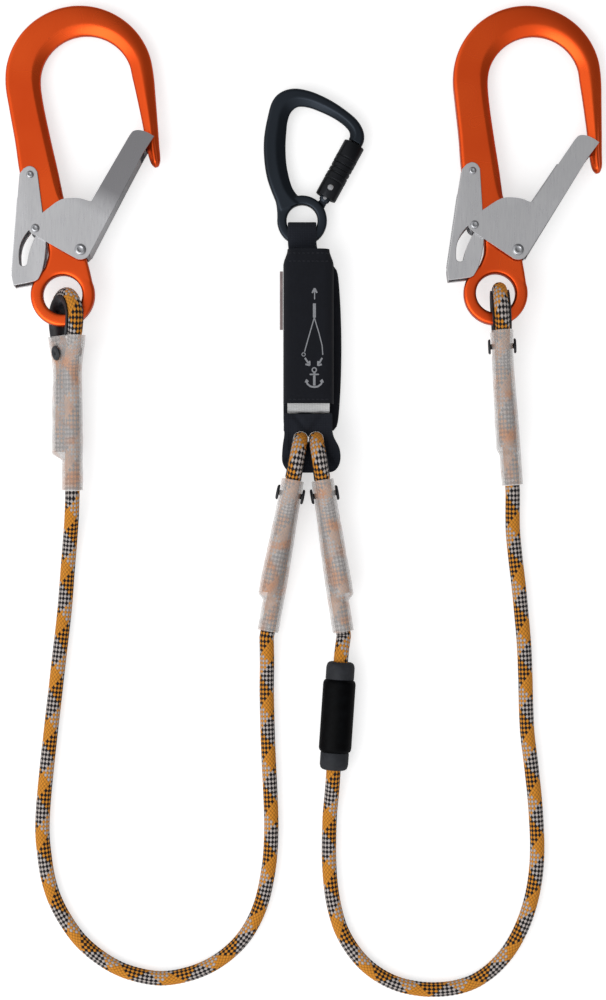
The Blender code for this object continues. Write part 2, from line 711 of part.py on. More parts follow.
def torsion_spring(name, place, inner_radius, finish, parent):
    """Make the coil of a torsion spring round a pivot."""
    radius = inner_radius + SPRING_PLAY + SPRING_WIRE / 2
    points = []
    per_turn = 8
    total = SPRING_TURNS * per_turn
    for i in range(total + 1):
        angle = 2 * math.pi * i / per_turn
        height = SPRING_PITCH * (i / per_turn - SPRING_TURNS / 2)
        points.append((radius * math.cos(angle), radius * math.sin(angle), height))
    made = tube(name, points, SPRING_WIRE / 2, finish, parent, resolution=1)
    made.location = (place[0], place[1], 0.0)
    return made


def spring_pocket(target, name, place, inner_radius, direction, reach, parent):
    """Cut the pocket that holds a torsion spring, open to one side of the body."""
    outer = inner_radius + SPRING_PLAY + SPRING_WIRE + SPRING_PLAY
    half = SPRING_TURNS * SPRING_PITCH / 2 + SPRING_WIRE / 2 + SPRING_PLAY
    outline = arc(place, outer, math.pi / 2, 3 * math.pi / 2, 12)
    outline += [(place[0] + reach, place[1] - outer), (place[0] + reach, place[1] + outer)]
    if direction < 0:
        outline = [(2 * place[0] - x, y) for x, y in outline][::-1]
    combine(target, prism(name, outline, -half, half, None, parent))


def lever_point(gate_angle):
    """Return the heel pin's place in the lever's rest frame, the gate open by an angle."""
    pivot = Vector(GATE_PIVOT)
    arm = Vector(HEEL_PIN) - pivot
    turned = Matrix.Rotation(gate_angle, 2) @ arm + pivot
    lever = Vector(LEVER_PIVOT)
    return Matrix.Rotation(-gate_angle * LEVER_RATIO, 2) @ (turned - lever) + lever


def slot_outline():
    """Return the lever's slot: the heel pin's path, widened by the pin and a clearance."""
    radius = HEEL_PIN_RADIUS + 2 * RUNNING_GAP
    opening = math.radians(GATE_OPEN_DEG)
    path = [lever_point(opening * i / 8) for i in range(9)]
    right = []
    left = []
    for i, here in enumerate(path):
        before = path[max(0, i - 1)]
        after = path[min(8, i + 1)]
        along = (after - before).normalized()
        normal = Vector((along.y, -along.x))
        extra = SLOT_EXTRA * math.sin(math.pi * i / 8)
        left.append(here + normal * (radius + extra))
        right.append(here - normal * radius)
    top = math.atan2(right[0].y - path[0].y, right[0].x - path[0].x)
    bottom = math.atan2(left[-1].y - path[-1].y, left[-1].x - path[-1].x)
    outline = arc(path[0], radius, top, top + math.pi, 6)
    outline += [tuple(p) for p in left[1:-1]]
    outline += arc(path[-1], radius, bottom, bottom + math.pi, 6)
    outline += [tuple(p) for p in reversed(right[1:-1])]
    return outline


def gate_outline():
    """Return the gate's flange, round the pivot and the heel."""
    foot, head = gate_web_line()
    boss_end = math.atan2(foot.y - GATE_PIVOT[1], foot.x - GATE_PIVOT[0]) + GATE_BOSS_OVERRUN
    outline = list(GATE_CROWN)
    outline += arc(HEEL_PIN, HEEL_BOSS_RADIUS, math.radians(125), math.radians(240), 6)
    outline += arc(GATE_PIVOT, GATE_BOSS_RADIUS, math.radians(238), boss_end + 2 * math.pi, 6)
    return outline + [tuple(foot), tuple(head)]


def gate_web_line():
    """Return the outer line of the gate's web, from its foot to where the tip opens."""
    angle = math.radians(GATE_WEB_LEAN_DEG)
    along = Vector((math.cos(angle), math.sin(angle)))
    outward = Vector((math.sin(angle), -math.cos(angle)))
    start = Vector(GATE_PIVOT) + outward * GATE_WEB_OFFSET
    return start - along * GATE_WEB_BACK, start + along * GATE_WEB_LENGTH


def build_hook(side, place, turn, tilt, looks):
    """Make one scaffold hook with its gate, lever, pins and springs."""
    root = empty(side + "_hook_frame", place, turn, tilt)
    half = HALF_HOOK
    sections = [bar_section(o, i, half, HOOK_EDGE_ROUND, share) for o, i, share in hook_stations()]
    body = loft(side + "_hook_body", sections, looks["orange"], root)
    ring = lathe(side + "_hook_ring", ring_profile(RING_HOLE_RADIUS, RING_OUTER_RADIUS,
                                                   RING_THICKNESS / 2, HOOK_EDGE_ROUND),
                 looks["orange"], root, segments=26)
    combine(body, ring, "UNION")
    web = RING_THICKNESS / 2 - HOOK_EDGE_ROUND / 2
    combine(body, prism(side + "_hook_gusset", GUSSET, -web, web, looks["orange"], root), "UNION")
    drill(body, side + "_gate_bore", GATE_PIVOT, PIVOT_RADIUS + GAP, -half * 2, half * 2, root)
    drill(body, side + "_lever_bore", LEVER_PIVOT, LEVER_PIN_RADIUS + GAP, -half * 2, half * 2, root)
    spring_pocket(body, side + "_gate_pocket", GATE_PIVOT, PIVOT_RADIUS, 1, GATE_POCKET_REACH, root)
    spring_pocket(body, side + "_lever_pocket", LEVER_PIVOT, LEVER_PIN_RADIUS, -1, LEVER_POCKET_REACH, root)

    gate_axis = empty(side + "_gate_axis", (*GATE_PIVOT, 0.0), parent=root)
    shift = Matrix.Translation((-GATE_PIVOT[0], -GATE_PIVOT[1], 0.0))
    frame = empty(side + "_gate_frame", (0, 0, 0), parent=gate_axis)
    frame.matrix_basis = shift
    gate = prism(side + "_gate", gate_outline(), -GATE_HALF, GATE_HALF, looks["steel"], frame)
    foot, head = gate_web_line()
    along = (head - foot).normalized()
    inward = Vector((-along.y, along.x))
    inner_foot = foot + inward * SHEET - along * CUTTER_OVERRUN
    inner_head = foot + inward * SHEET + along * ((GATE_TIP_CUT - foot.y) / along.y)
    right = inner_head.x + CUTTER_OVERRUN
    left = HEEL_PIN[0] - HEEL_BOSS_RADIUS - CUTTER_OVERRUN
    top = max(y for x, y in GATE_CROWN) + CUTTER_OVERRUN
    bottom = GATE_PIVOT[1] - GATE_BOSS_RADIUS - CUTTER_OVERRUN
    hollow = [tuple(inner_foot), tuple(inner_head), (right, inner_head.y), (right, top), (left, top),
              (left, bottom)]
    between = GATE_HALF - SHEET
    combine(gate, prism(side + "_gate_hollow", hollow, -between, between, None, frame))
    tab_x = interpolate(NOSE_INNER, GATE_TAB_HIGH) - GAP
    tab = [(tab_x - GATE_TAB_THICKNESS, GATE_TAB_LOW), (tab_x, GATE_TAB_LOW),
           (tab_x, GATE_TAB_HIGH), (tab_x - GATE_TAB_THICKNESS, GATE_TAB_HIGH)]
    depth = between + SHEET / 2
    combine(gate, prism(side + "_gate_tab", tab, -depth, depth, looks["steel"], frame), "UNION")
    through = GATE_HALF + CUTTER_OVERRUN
    drill(gate, side + "_gate_pivot_hole", GATE_PIVOT, PIVOT_RADIUS + GAP, -through, through, frame)
    drill(gate, side + "_gate_heel_hole", HEEL_PIN, HEEL_PIN_RADIUS + GAP, -through, through, frame)
    rivet(side + "_heel_pin", HEEL_PIN, HEEL_PIN_RADIUS, HEEL_HEAD_RADIUS, GATE_HALF + GAP,
          looks["rivet"], frame)
    rivet(side + "_gate_rivet", GATE_PIVOT, PIVOT_RADIUS, PIVOT_HEAD_RADIUS, GATE_HALF + GAP,
          looks["rivet"], root)

    lever_axis = empty(side + "_lever_axis", (*LEVER_PIVOT, 0.0), parent=root)
    frame = empty(side + "_lever_frame", (0, 0, 0), parent=lever_axis)
    frame.matrix_basis = Matrix.Translation((-LEVER_PIVOT[0], -LEVER_PIVOT[1], 0.0))
    lever = prism(side + "_lock_lever", LEVER_OUTLINE, -LEVER_HALF, LEVER_HALF, looks["steel"], frame)
    between = LEVER_HALF - SHEET
    knee, shoe, heel = [Vector(p) for p in LEVER_OUTLINE[1:4]]
    left = shoe.x - CUTTER_OVERRUN
    right = max(x for x, y in LEVER_OUTLINE) + CUTTER_OVERRUN
    top = max(y for x, y in LEVER_OUTLINE) + CUTTER_OVERRUN
    bottom = heel.y - CUTTER_OVERRUN
    hollow = [(heel.x + SHEET, bottom), (shoe.x + SHEET, shoe.y), (knee.x + SHEET, LEVER_WEB_TOP),
              (left, LEVER_WEB_TOP), (left, top), (right, top), (right, bottom)]
    combine(lever, prism(side + "_lever_hollow", hollow, -between, between, None, frame))
    combine(lever, prism(side + "_lever_slot", slot_outline(), -through, through, None, frame))
    drill(lever, side + "_lever_pivot_hole", LEVER_PIVOT, LEVER_PIN_RADIUS + GAP, -through, through, frame)
    rivet(side + "_lever_rivet", LEVER_PIVOT, LEVER_PIN_RADIUS, LEVER_HEAD_RADIUS, LEVER_HALF + GAP,
          looks["rivet"], root)
    torsion_spring(side + "_gate_spring", GATE_PIVOT, PIVOT_RADIUS, looks["rivet"], root)
    torsion_spring(side + "_lever_spring", LEVER_PIVOT, LEVER_PIN_RADIUS, looks["rivet"], root)


def hook_place(end, seat, bearing_deg, turn_deg):
    """Return where a hook's ring centre sits and how far the hook leans down to the floor."""
    bearing = math.radians(bearing_deg)
    back, drop = seat
    mean_radius = (RING_HOLE_RADIUS + RING_OUTER_RADIUS) / 2 - back
    eye = end.middle(0)
    height = eye.z - drop
    reach = BOWL_OUTER_CENTRE[1] + BOWL_OUTER_RADIUS
    rim_reach = mean_radius * math.cos(bearing + math.radians(turn_deg))
    tilt = math.asin((height - HALF_HOOK - FLOOR_GAP) / (reach + rim_reach))
    x = eye.x - mean_radius * math.sin(bearing)
    y = eye.y + mean_radius * math.cos(bearing)
    z = height - rim_reach * math.sin(tilt)
    return (x, y, z), math.radians(turn_deg), -tilt


def build_carabiner(looks):
    """Make the carabiner with its gate, hinge pin, locking sleeve and springs."""
    height = FLOOR_GAP + LOCK_SLEEVE_RADIUS
    root = empty("carabiner_frame", (*CARABINER_PLACE, height))
    lean = math.radians(GATE_LEAN_DEG)
    along = Vector((math.sin(lean), math.cos(lean)))
    right = Vector((along.y, -along.x))
    hinge = Vector(GATE_HINGE)
    sleeve_top = LOCK_SLEEVE_START + LOCK_SLEEVE_LENGTH
    face_reach = math.hypot(sleeve_top, LOCK_SLEEVE_RADIUS) + RUNNING_GAP
    face = hinge + along * face_reach
    outer = [tuple(face + right * NOSE_FACE_HALF)] + list(CARABINER_OUTER)
    inner = [tuple(face - right * NOSE_FACE_HALF)] + list(CARABINER_INNER)
    half = CARABINER_THICKNESS / 2
    sections = []
    for i, (o, n) in enumerate(zip(outer, inner)):
        share = 0.30 + 0.12 * math.sin(math.pi * i / (len(outer) - 1))
        sections.append(bar_section(o, n, half, CARABINER_EDGE_ROUND, share))
    body = loft("carabiner_body", sections, looks["black"], root)
    ring = lathe("carabiner_eye", ring_profile(EYE_HOLE_RADIUS, EYE_OUTER_RADIUS, EYE_THICKNESS / 2,
                                               CARABINER_EDGE_ROUND * 0.8),
                 looks["black"], root, segments=26)
    combine(body, ring, "UNION")
    lug_end = LUG_WIDTH / 2
    lug = []
    for i in range(9):
        angle = math.pi * i / 8
        lug.append(hinge + right * (math.cos(angle) * lug_end) + along * (math.sin(angle) * lug_end))
    lug += [hinge - right * lug_end - along * LUG_ROOT, hinge + right * lug_end - along * LUG_ROOT]
    lug_half = LUG_THICKNESS / 2
    combine(body, prism("carabiner_lug", [tuple(p) for p in lug], -lug_half, lug_half, looks["black"],
                        root), "UNION")
    drill(body, "carabiner_hinge_bore", GATE_HINGE, HINGE_PIN_RADIUS + GAP, -0.02, 0.02, root)
    pin_half = GATE_ROD_RADIUS - 0.0004
    pin = lathe("carabiner_hinge_pin", [(0.0, -pin_half), (HINGE_PIN_RADIUS, -pin_half),
                                        (HINGE_PIN_RADIUS, pin_half), (0.0, pin_half)],
                looks["rivet"], root, segments=16)
    pin.location = (*GATE_HINGE, 0.0)

    # The gate's own frame has its Z along the gate and its origin on the hinge
    axis = empty("carabiner_gate_axis", (*GATE_HINGE, 0.0), parent=root)
    axis.matrix_basis = Matrix.Translation((*GATE_HINGE, 0.0)) @ Matrix.Rotation(-lean, 4, "Z") \
        @ Matrix.Rotation(-math.pi / 2, 4, "X")
    slot_reach = lug_end + RUNNING_GAP
    waist_low = 0.0200
    waist_high = sleeve_top - 0.0080
    profile = [(0.0, -0.0030), (GATE_ROD_RADIUS * 0.8, -0.0030), (GATE_ROD_RADIUS, -0.0015),
               (GATE_ROD_RADIUS, waist_low), (GATE_ROD_WAIST, waist_low + 0.0008),
               (GATE_ROD_WAIST, waist_high - 0.0008), (GATE_ROD_RADIUS, waist_high),
               (GATE_ROD_RADIUS, sleeve_top), (GATE_ROD_RADIUS * 0.8, sleeve_top + 0.0003),
               (0.0, sleeve_top + 0.0003)]
    gate = lathe("carabiner_gate", profile, looks["black"], axis)
    slot_half = lug_half + RUNNING_GAP
    slot = [(-0.02, -slot_half), (0.02, -slot_half), (0.02, slot_half), (-0.02, slot_half)]
    combine(gate, prism("carabiner_gate_slot", slot, -0.01, slot_reach + RUNNING_GAP, None, axis))
    bore_end = slot_reach + 2 * RUNNING_GAP + PLUNGER_LENGTH + PLUNGER_SPRING_LENGTH
    bore = arc((0, 0), PLUNGER_RADIUS + GAP, 0, 2 * math.pi, 12)[:-1]
    combine(gate, prism("carabiner_gate_bore", bore, 0.0, bore_end, None, axis))
    cross = prism("carabiner_gate_pin_hole", arc((0, 0), HINGE_PIN_RADIUS + GAP, 0, 2 * math.pi, 16)[:-1],
                  -0.02, 0.02, None, axis)
    cross.matrix_basis = Matrix.Rotation(math.pi / 2, 4, "X")
    combine(gate, cross)
    start = slot_reach + RUNNING_GAP
    lathe("carabiner_gate_plunger", [(0.0, start), (PLUNGER_RADIUS, start + 0.0006),
                                     (PLUNGER_RADIUS, start + PLUNGER_LENGTH),
                                     (0.0, start + PLUNGER_LENGTH)], looks["rivet"], axis, segments=12)
    wire = 0.00025
    coil = PLUNGER_RADIUS - wire
    turns = 5
    low = start + PLUNGER_LENGTH + GAP + wire
    high = bore_end - GAP - wire
    points = []
    for i in range(turns * 8 + 1):
        angle = 2 * math.pi * i / 8
        height = low + (high - low) * i / (turns * 8)
        points.append((coil * math.cos(angle), coil * math.sin(angle), height))
    tube("carabiner_gate_spring", points, wire, looks["rivet"], axis, resolution=1)

    bore_radius = GATE_ROD_RADIUS + RUNNING_GAP
    top = sleeve_top
    edge = 0.0008
    outer_line = [(bore_radius, LOCK_SLEEVE_START), (LOCK_SLEEVE_RADIUS - edge, LOCK_SLEEVE_START),
                  (LOCK_SLEEVE_RADIUS, LOCK_SLEEVE_START + edge)]
    for reach in GRIP_GROOVE_REACHES:
        outer_line += [(LOCK_SLEEVE_RADIUS, reach - GRIP_GROOVE_WIDTH / 2),
                       (LOCK_SLEEVE_RADIUS - GRIP_GROOVE_DEPTH, reach - GRIP_GROOVE_WIDTH / 4),
                       (LOCK_SLEEVE_RADIUS - GRIP_GROOVE_DEPTH, reach + GRIP_GROOVE_WIDTH / 4),
                       (LOCK_SLEEVE_RADIUS, reach + GRIP_GROOVE_WIDTH / 2)]
    outer_line += [(LOCK_SLEEVE_RADIUS, top - edge), (LOCK_SLEEVE_RADIUS - edge, top), (bore_radius, top)]
    sleeve = lathe("locking_sleeve", outer_line, looks["black"], axis, segments=20)
    seat = empty("sleeve_rivet_seat", (0, 0, 0), parent=axis)
    seat.matrix_basis = Matrix.Translation((0, 0, SLEEVE_RIVET_REACH)) \
        @ Matrix.Rotation(math.pi / 2, 4, "X")
    shank = SLEEVE_RIVET_RADIUS * 0.6
    drill(sleeve, "sleeve_rivet_bore", (0, 0), shank + GAP, 0.0, 0.02, seat)
    head = LOCK_SLEEVE_RADIUS + 0.0001
    lathe("locking_sleeve_rivet", [(0.0, bore_radius + 0.0002), (shank, bore_radius + 0.0002),
                                   (shank, head), (SLEEVE_RIVET_RADIUS, head),
                                   (SLEEVE_RIVET_RADIUS, head + 0.0005),
                                   (SLEEVE_RIVET_RADIUS * 0.7, head + 0.0009), (0.0, head + 0.0009)],
          looks["rivet"], seat, segments=16)
    wire = 0.00035
    coil = (GATE_ROD_WAIST + GATE_ROD_RADIUS) / 2
    low = waist_low + 0.0020
    high = waist_high - 0.0020
    turns = 5
    points = []
    for i in range(turns * 8 + 1):
        angle = 2 * math.pi * i / 8
        points.append((coil * math.cos(angle), coil * math.sin(angle),
                       low + (high - low) * i / (turns * 8)))
    tube("locking_sleeve_spring", points, wire, looks["rivet"], axis, resolution=1)


def rounded_rectangle(x0, x1, y0, y1, radius, steps=3):
    """Return a rectangle's outline with round corners."""
    outline = []
    for cx, cy, start in ((x1 - radius, y1 - radius, 0.0), (x0 + radius, y1 - radius, 90.0),
                          (x0 + radius, y0 + radius, 180.0), (x1 - radius, y0 + radius, 270.0)):
        begin = math.radians(start)
        outline += arc((cx, cy), radius, begin, begin + math.pi / 2, steps)
    return outline


def build_absorber(ends, looks):
    """Make the tear webbing, pouch, both web loops and the booklet."""
    pack_low = FLOOR_GAP + BACK_THICKNESS + GAP
    pack_high = pack_low + PACK_THICKNESS
    mid = POUCH_MIDDLE_X
    half_pack = PACK_WIDTH / 2
    pack = prism("tear_webbing_pack", rounded_rectangle(mid - half_pack, mid + half_pack, PACK_BOTTOM,
                                                        PACK_TOP, 0.0030),
                 pack_low, pack_high, looks["white"])
    bevel(pack, 0.0015, 1)

    # The front cover is a channel over the tear webbing, narrower at its top
    sections = []
    stations = ((POUCH_TOP, POUCH_TOP_WIDTH, 0.004), (POUCH_TOP - 0.012, POUCH_WIDTH, 0.001),
                (0.0, POUCH_WIDTH, 0.0), (POUCH_BOTTOM + 0.012, POUCH_WIDTH, 0.0),
                (POUCH_BOTTOM, POUCH_WIDTH - 0.001, 0.0015))
    roof_inner = pack_high + GAP
    for y, width, drop in stations:
        half = width / 2
        inner_half = min(half_pack + GAP, half - POUCH_WALL + 0.0010)
        roof = roof_inner + POUCH_WALL - drop * 0.3
        ring = [(mid - half, y, pack_low), (mid - half, y, roof - POUCH_CORNER)]
        for i in range(1, 4):
            angle = math.pi - i * math.pi / 6
            ring.append((mid - half + POUCH_CORNER + POUCH_CORNER * math.cos(angle), y,
                         roof - POUCH_CORNER + POUCH_CORNER * math.sin(angle)))
        for i in range(0, 3):
            angle = math.pi / 2 - i * math.pi / 6
            ring.append((mid + half - POUCH_CORNER + POUCH_CORNER * math.cos(angle), y,
                         roof - POUCH_CORNER + POUCH_CORNER * math.sin(angle)))
        ring += [(mid + half, y, roof - POUCH_CORNER), (mid + half, y, pack_low),
                 (mid + inner_half, y, pack_low), (mid + inner_half, y, roof_inner - 0.0012),
                 (mid + inner_half - 0.0012, y, roof_inner), (mid - inner_half + 0.0012, y, roof_inner),
                 (mid - inner_half, y, roof_inner - 0.0012), (mid - inner_half, y, pack_low)]
        sections.append(ring)
    loft("pouch_front", sections, looks["fabric"])

    half = POUCH_WIDTH / 2
    back_outline = rounded_rectangle(mid - half, mid + half + BACK_SIDE_BULGE, BACK_BOTTOM, BACK_TOP,
                                     0.0050)
    back = prism("pouch_back", back_outline, FLOOR_GAP, FLOOR_GAP + BACK_THICKNESS, looks["fabric"])
    bevel(back, 0.0018, 2)

    build_upper_web(pack_low, looks)
    build_lower_web(ends, looks)
    thick, long, tall = BOOKLET_SIZE
    x1 = mid - half - GAP
    outline = rounded_rectangle(x1 - thick, x1, BOOKLET_MIDDLE_Y - long / 2, BOOKLET_MIDDLE_Y + long / 2,
                                0.0008, 2)
    prism("label_booklet", outline, pack_low, pack_low + tall, looks["plastic"])


def build_upper_web(pack_low, looks):
    """Make the webbing that runs from the tear webbing through the carabiner's eye."""
    thick = UPPER_WEB_THICKNESS
    eye_x, eye_y = CARABINER_PLACE
    centre_z = FLOOR_GAP + LOCK_SLEEVE_RADIUS
    rim = EYE_THICKNESS / 2
    low = FLOOR_GAP + thick / 2
    high = centre_z + rim + 2 * GAP + thick / 2
    bight_y = eye_y - thick - (high - low) / 2
    rim_edge = eye_y - EYE_OUTER_RADIUS
    end_y = PACK_TOP + GAP
    lower_end = pack_low + thick
    upper_end = pack_low + 3 * thick
    path = [(end_y, lower_end), (end_y + 0.003, lower_end - 0.0004), (rim_edge - 0.003, low + 0.0008),
            (rim_edge, low), (bight_y, low)]
    radius = (high - low) / 2
    for i in range(1, 10):
        angle = -math.pi / 2 + math.pi * i / 10
        path.append((bight_y + radius * math.cos(angle), (low + high) / 2 + radius * math.sin(angle)))
    path += [(bight_y, high), (rim_edge, high), (end_y + 0.004, upper_end), (end_y, upper_end)]
    sections = []
    half = UPPER_WEB_WIDTH / 2
    for i, (y, z) in enumerate(path):
        before = path[max(0, i - 1)]
        after = path[min(len(path) - 1, i + 1)]
        along = Vector((after[0] - before[0], after[1] - before[1])).normalized()
        normal = Vector((-along.y, along.x)) * (thick / 2)
        shift = (eye_x if y > rim_edge else eye_x + (POUCH_MIDDLE_X - eye_x) * 0.5)
        left, right = shift - half, shift + half
        sections.append([(left, y - normal.x, z - normal.y), (right, y - normal.x, z - normal.y),
                         (right, y + normal.x, z + normal.y), (left, y + normal.x, z + normal.y)])
    loft("upper_web_loop", sections, looks["fabric"])


def build_lower_web(ends, looks):
    """Make the webbing that passes through both thimbles and back up to the tear webbing."""
    left_end, right_end = ends
    clear = ROPE_RADIUS + 2 * GAP
    inner_left = left_end.middle(0).x - clear
    inner_right = right_end.middle(0).x + clear
    eye_y = left_end.middle(0).y
    hole = LOOP_RADIUS - ROPE_RADIUS - GAP - THIMBLE_WALL
    top = eye_y + hole - LOWER_WEB_TOP_CLEAR
    bottom = top - LOWER_WEB_DEPTH
    end_y = PACK_BOTTOM - GAP
    outer_left = inner_left - LOWER_WEB_LEG
    outer_right = inner_right + LOWER_WEB_LEG
    outline = [(inner_left, end_y), (outer_left, end_y), (outer_left, top + 0.012),
               (outer_left - LEFT_LOBE, top + 0.003), (outer_left - LEFT_LOBE, bottom + 0.007),
               (outer_left + 0.003, bottom + 0.001), (inner_left + 0.006, bottom),
               (inner_right - 0.006, bottom), (outer_right + RIGHT_LOBE * 0.3, bottom + 0.001),
               (outer_right + RIGHT_LOBE, bottom + 0.007), (outer_right + RIGHT_LOBE, top + 0.001),
               (outer_right + 0.001, top + 0.012), (outer_right, end_y), (inner_right, end_y),
               (inner_right, top), (inner_left, top)]
    z = left_end.middle(0).z
    half = LOWER_WEB_THICKNESS / 2
    web = prism("lower_web_loop", outline, z - half, z + half, looks["fabric"])
    bevel(web, 0.0012, 2)
    rope_top = eye_y + LOOP_RADIUS + ROPE_RADIUS
    fold_left, fold_right = outer_left - WEB_FOLD_STEP, outer_right + WEB_FOLD_STEP
    fold_top, fold_bottom = end_y - WEB_FOLD_STEP, rope_top + GAP
    fold = [(fold_left, fold_top), (fold_left, fold_bottom),
            (fold_right, fold_bottom), (fold_right, fold_top)]
    reach = half - WEB_FOLD_STEP
    combine(web, prism("lower_web_fold", fold, z - reach, z + reach, looks["fabric"]), "UNION")


def build_label_tube(looks):
    """Make the sliding label tube: two collars and a cover round the rope."""
    height = FLOOR_GAP + COVER_RADIUS
    turn = math.radians(TUBE_TURN_DEG)
    root = empty("label_tube_frame", (*TUBE_CENTRE, height))
    root.matrix_basis = Matrix.Translation((*TUBE_CENTRE, height)) @ Matrix.Rotation(turn, 4, "Z") \
        @ Matrix.Rotation(-math.pi / 2, 4, "X")
    bore = TUBE_BORE_RADIUS
    half = COVER_LENGTH / 2
    inner = COVER_RADIUS - COVER_WALL
    lathe("label_cover", [(inner, -half), (COVER_RADIUS - COVER_CHAMFER, -half),
                          (COVER_RADIUS, -half + COVER_CHAMFER), (COVER_RADIUS, half - COVER_CHAMFER),
                          (COVER_RADIUS - COVER_CHAMFER, half), (inner, half)], looks["plastic"], root)
    spigot = inner - GAP
    for name, sign in (("label_collar_upper", 1), ("label_collar_lower", -1)):
        face = half + GAP
        end = face + COLLAR_LENGTH
        profile = [(bore, face - COLLAR_SPIGOT), (spigot, face - COLLAR_SPIGOT), (spigot, face),
                   (COLLAR_RADIUS, face), (COLLAR_RADIUS, end - 0.0035),
                   (COLLAR_RADIUS - 0.0008, end - 0.0012), (COLLAR_RADIUS - 0.0024, end), (bore, end)]
        lathe(name, [(r, z * sign) for r, z in profile], looks["grey"], root)


def tube_axis_point(along):
    """Return a point on the label tube's axis."""
    turn = math.radians(TUBE_TURN_DEG)
    height = FLOOR_GAP + COVER_RADIUS
    return (TUBE_CENTRE[0] - math.sin(turn) * along, TUBE_CENTRE[1] + math.cos(turn) * along, height)


def build_ropes(left, right, absorber_left, absorber_right, looks):
    """Make the two free stretches of rope between the sewn ends."""
    floor = ROPE_RADIUS + ROPE_FLOOR_GAP

    def leave(end, reach):
        """Return a point on the line that a sewn end's main run leaves by."""
        start = end.main(SLEEVE_END) + end.down * reach
        drop = smooth_step((reach - STRAIGHT_START) / 0.05)
        return (start.x, start.y, start.z + (floor - start.z) * drop)

    points = [leave(left, STRAIGHT_START)]
    points += [(x, y, floor + rise) for (x, y), rise in zip(ROPE_LEFT_ROUTE, LEFT_ROUTE_RISE)]
    points += [(x, y, floor) for x, y in ROPE_LEFT_ROUTE[len(LEFT_ROUTE_RISE):]]
    points.append(leave(absorber_left, STRAIGHT_START))
    route = [leave(left, GAP)] + smooth_route(points, ROPE_POINT_SPACING) + [leave(absorber_left, GAP)]
    tube("rope_left", route, ROPE_RADIUS, looks["rope"])

    half = COVER_LENGTH / 2 + COLLAR_LENGTH
    points = [leave(absorber_right, TUBE_LEAD)]
    points += [tube_axis_point(half + TUBE_TRAVEL), tube_axis_point(half * 0.5), tube_axis_point(0.0),
               tube_axis_point(-half * 0.5), tube_axis_point(-half - 0.002)]
    low = tube_axis_point(-half - 0.018)
    points.append((low[0], low[1], floor + (low[2] - floor) * 0.45))
    points += [(x, y, floor) for x, y in ROPE_RIGHT_ROUTE]
    points.append(leave(right, STRAIGHT_START))
    route = [leave(absorber_right, GAP)] + smooth_route(points, ROPE_POINT_SPACING) + [leave(right, GAP)]
    tube("rope_right", route, ROPE_RADIUS, looks["rope"])


def rope_ends():
    """Return the four sewn ends."""
    half = ABSORBER_EYE_SPACING / 2
    x, y = ABSORBER_EYE_MIDDLE
    return (
        RopeEnd("left_hook", LEFT_EYE, LEFT_HEADING_DEG, LEFT_ROLL_DEG),
        RopeEnd("right_hook", RIGHT_EYE, RIGHT_HEADING_DEG, RIGHT_ROLL_DEG),
        RopeEnd("left_absorber", (x - half, y), ABSORBER_LEFT_HEADING_DEG, ABSORBER_LEFT_ROLL_DEG),
        RopeEnd("right_absorber", (x + half, y), ABSORBER_RIGHT_HEADING_DEG, ABSORBER_RIGHT_ROLL_DEG),
    )


def main():
    """Build the lanyard."""
    for old in list(bpy.data.objects):
        bpy.data.objects.remove(old)
    looks = finishes()
    left, right, absorber_left, absorber_right = rope_ends()
    for end in (left, right, absorber_left, absorber_right):
        end.build(looks)
    build_hook("left", *hook_place(left, LEFT_RING_SEAT, LEFT_RING_BEARING_DEG, LEFT_TURN_DEG), looks)
    build_hook("right", *hook_place(right, RIGHT_RING_SEAT, RIGHT_RING_BEARING_DEG, RIGHT_TURN_DEG), looks)
    build_carabiner(looks)
    build_absorber((absorber_left, absorber_right), looks)
    build_label_tube(looks)
    build_ropes(left, right, absorber_left, absorber_right, looks)


main()
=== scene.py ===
"""Looks of a twin shock-absorbing lanyard, laid flat and seen from straight above.

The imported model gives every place. Each sub-assembly here is a class that makes finer meshes in
the same frame, in metres, +Z up and +Y towards the connectors, and gives them their finishes.
"""
from __future__ import annotations

import logging
import math
from dataclasses import dataclass, field
from enum import Enum
from typing import Iterable, Sequence

import bmesh
import bpy
from mathutils import Matrix, Vector, noise
from mathutils.bvhtree import BVHTree


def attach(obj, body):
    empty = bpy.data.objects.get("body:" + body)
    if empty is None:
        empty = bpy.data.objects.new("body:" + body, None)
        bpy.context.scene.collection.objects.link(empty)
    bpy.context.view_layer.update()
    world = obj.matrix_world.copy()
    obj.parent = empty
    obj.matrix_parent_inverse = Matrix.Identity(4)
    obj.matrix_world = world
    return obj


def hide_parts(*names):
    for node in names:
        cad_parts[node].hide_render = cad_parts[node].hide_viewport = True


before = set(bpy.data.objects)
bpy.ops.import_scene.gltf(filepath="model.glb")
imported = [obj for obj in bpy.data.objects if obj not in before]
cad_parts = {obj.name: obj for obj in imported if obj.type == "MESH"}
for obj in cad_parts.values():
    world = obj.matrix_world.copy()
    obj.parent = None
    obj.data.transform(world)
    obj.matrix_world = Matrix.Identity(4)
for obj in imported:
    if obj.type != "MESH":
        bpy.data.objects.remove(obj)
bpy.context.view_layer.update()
LOG = logging.getLogger("lanyard")

Point = tuple[float, float]
Piece = bpy.types.Object
Tree = bpy.types.NodeTree
Node = bpy.types.Node
Socket = bpy.types.NodeSocket

# Lengths are in metres: the clearances between pieces and above the floor, the rope, pressed sheet
MILLIMETRE = 0.001
GAP = 0.0003
FLOOR_GAP = 0.0003
ROPE_RADIUS = 0.0055
SHEET = 0.0015
# One pixel of the photograph, the pixel at the frame's origin, and the photograph's size
PIXEL = 0.00075
ORIGIN_PX = (306.2, 316.9)
FRAME_PX = (606, 1000)
# A round section is squared off by this power: 1 leaves a circle, 0 gives a square
SQUARED = 0.42
# Most of a noise's values lie in this range
NOISE = (0.3, 0.7)


# Shapes


class Join(Enum):
    """How one solid works on another."""

    CUT = "DIFFERENCE"
    ADD = "UNION"


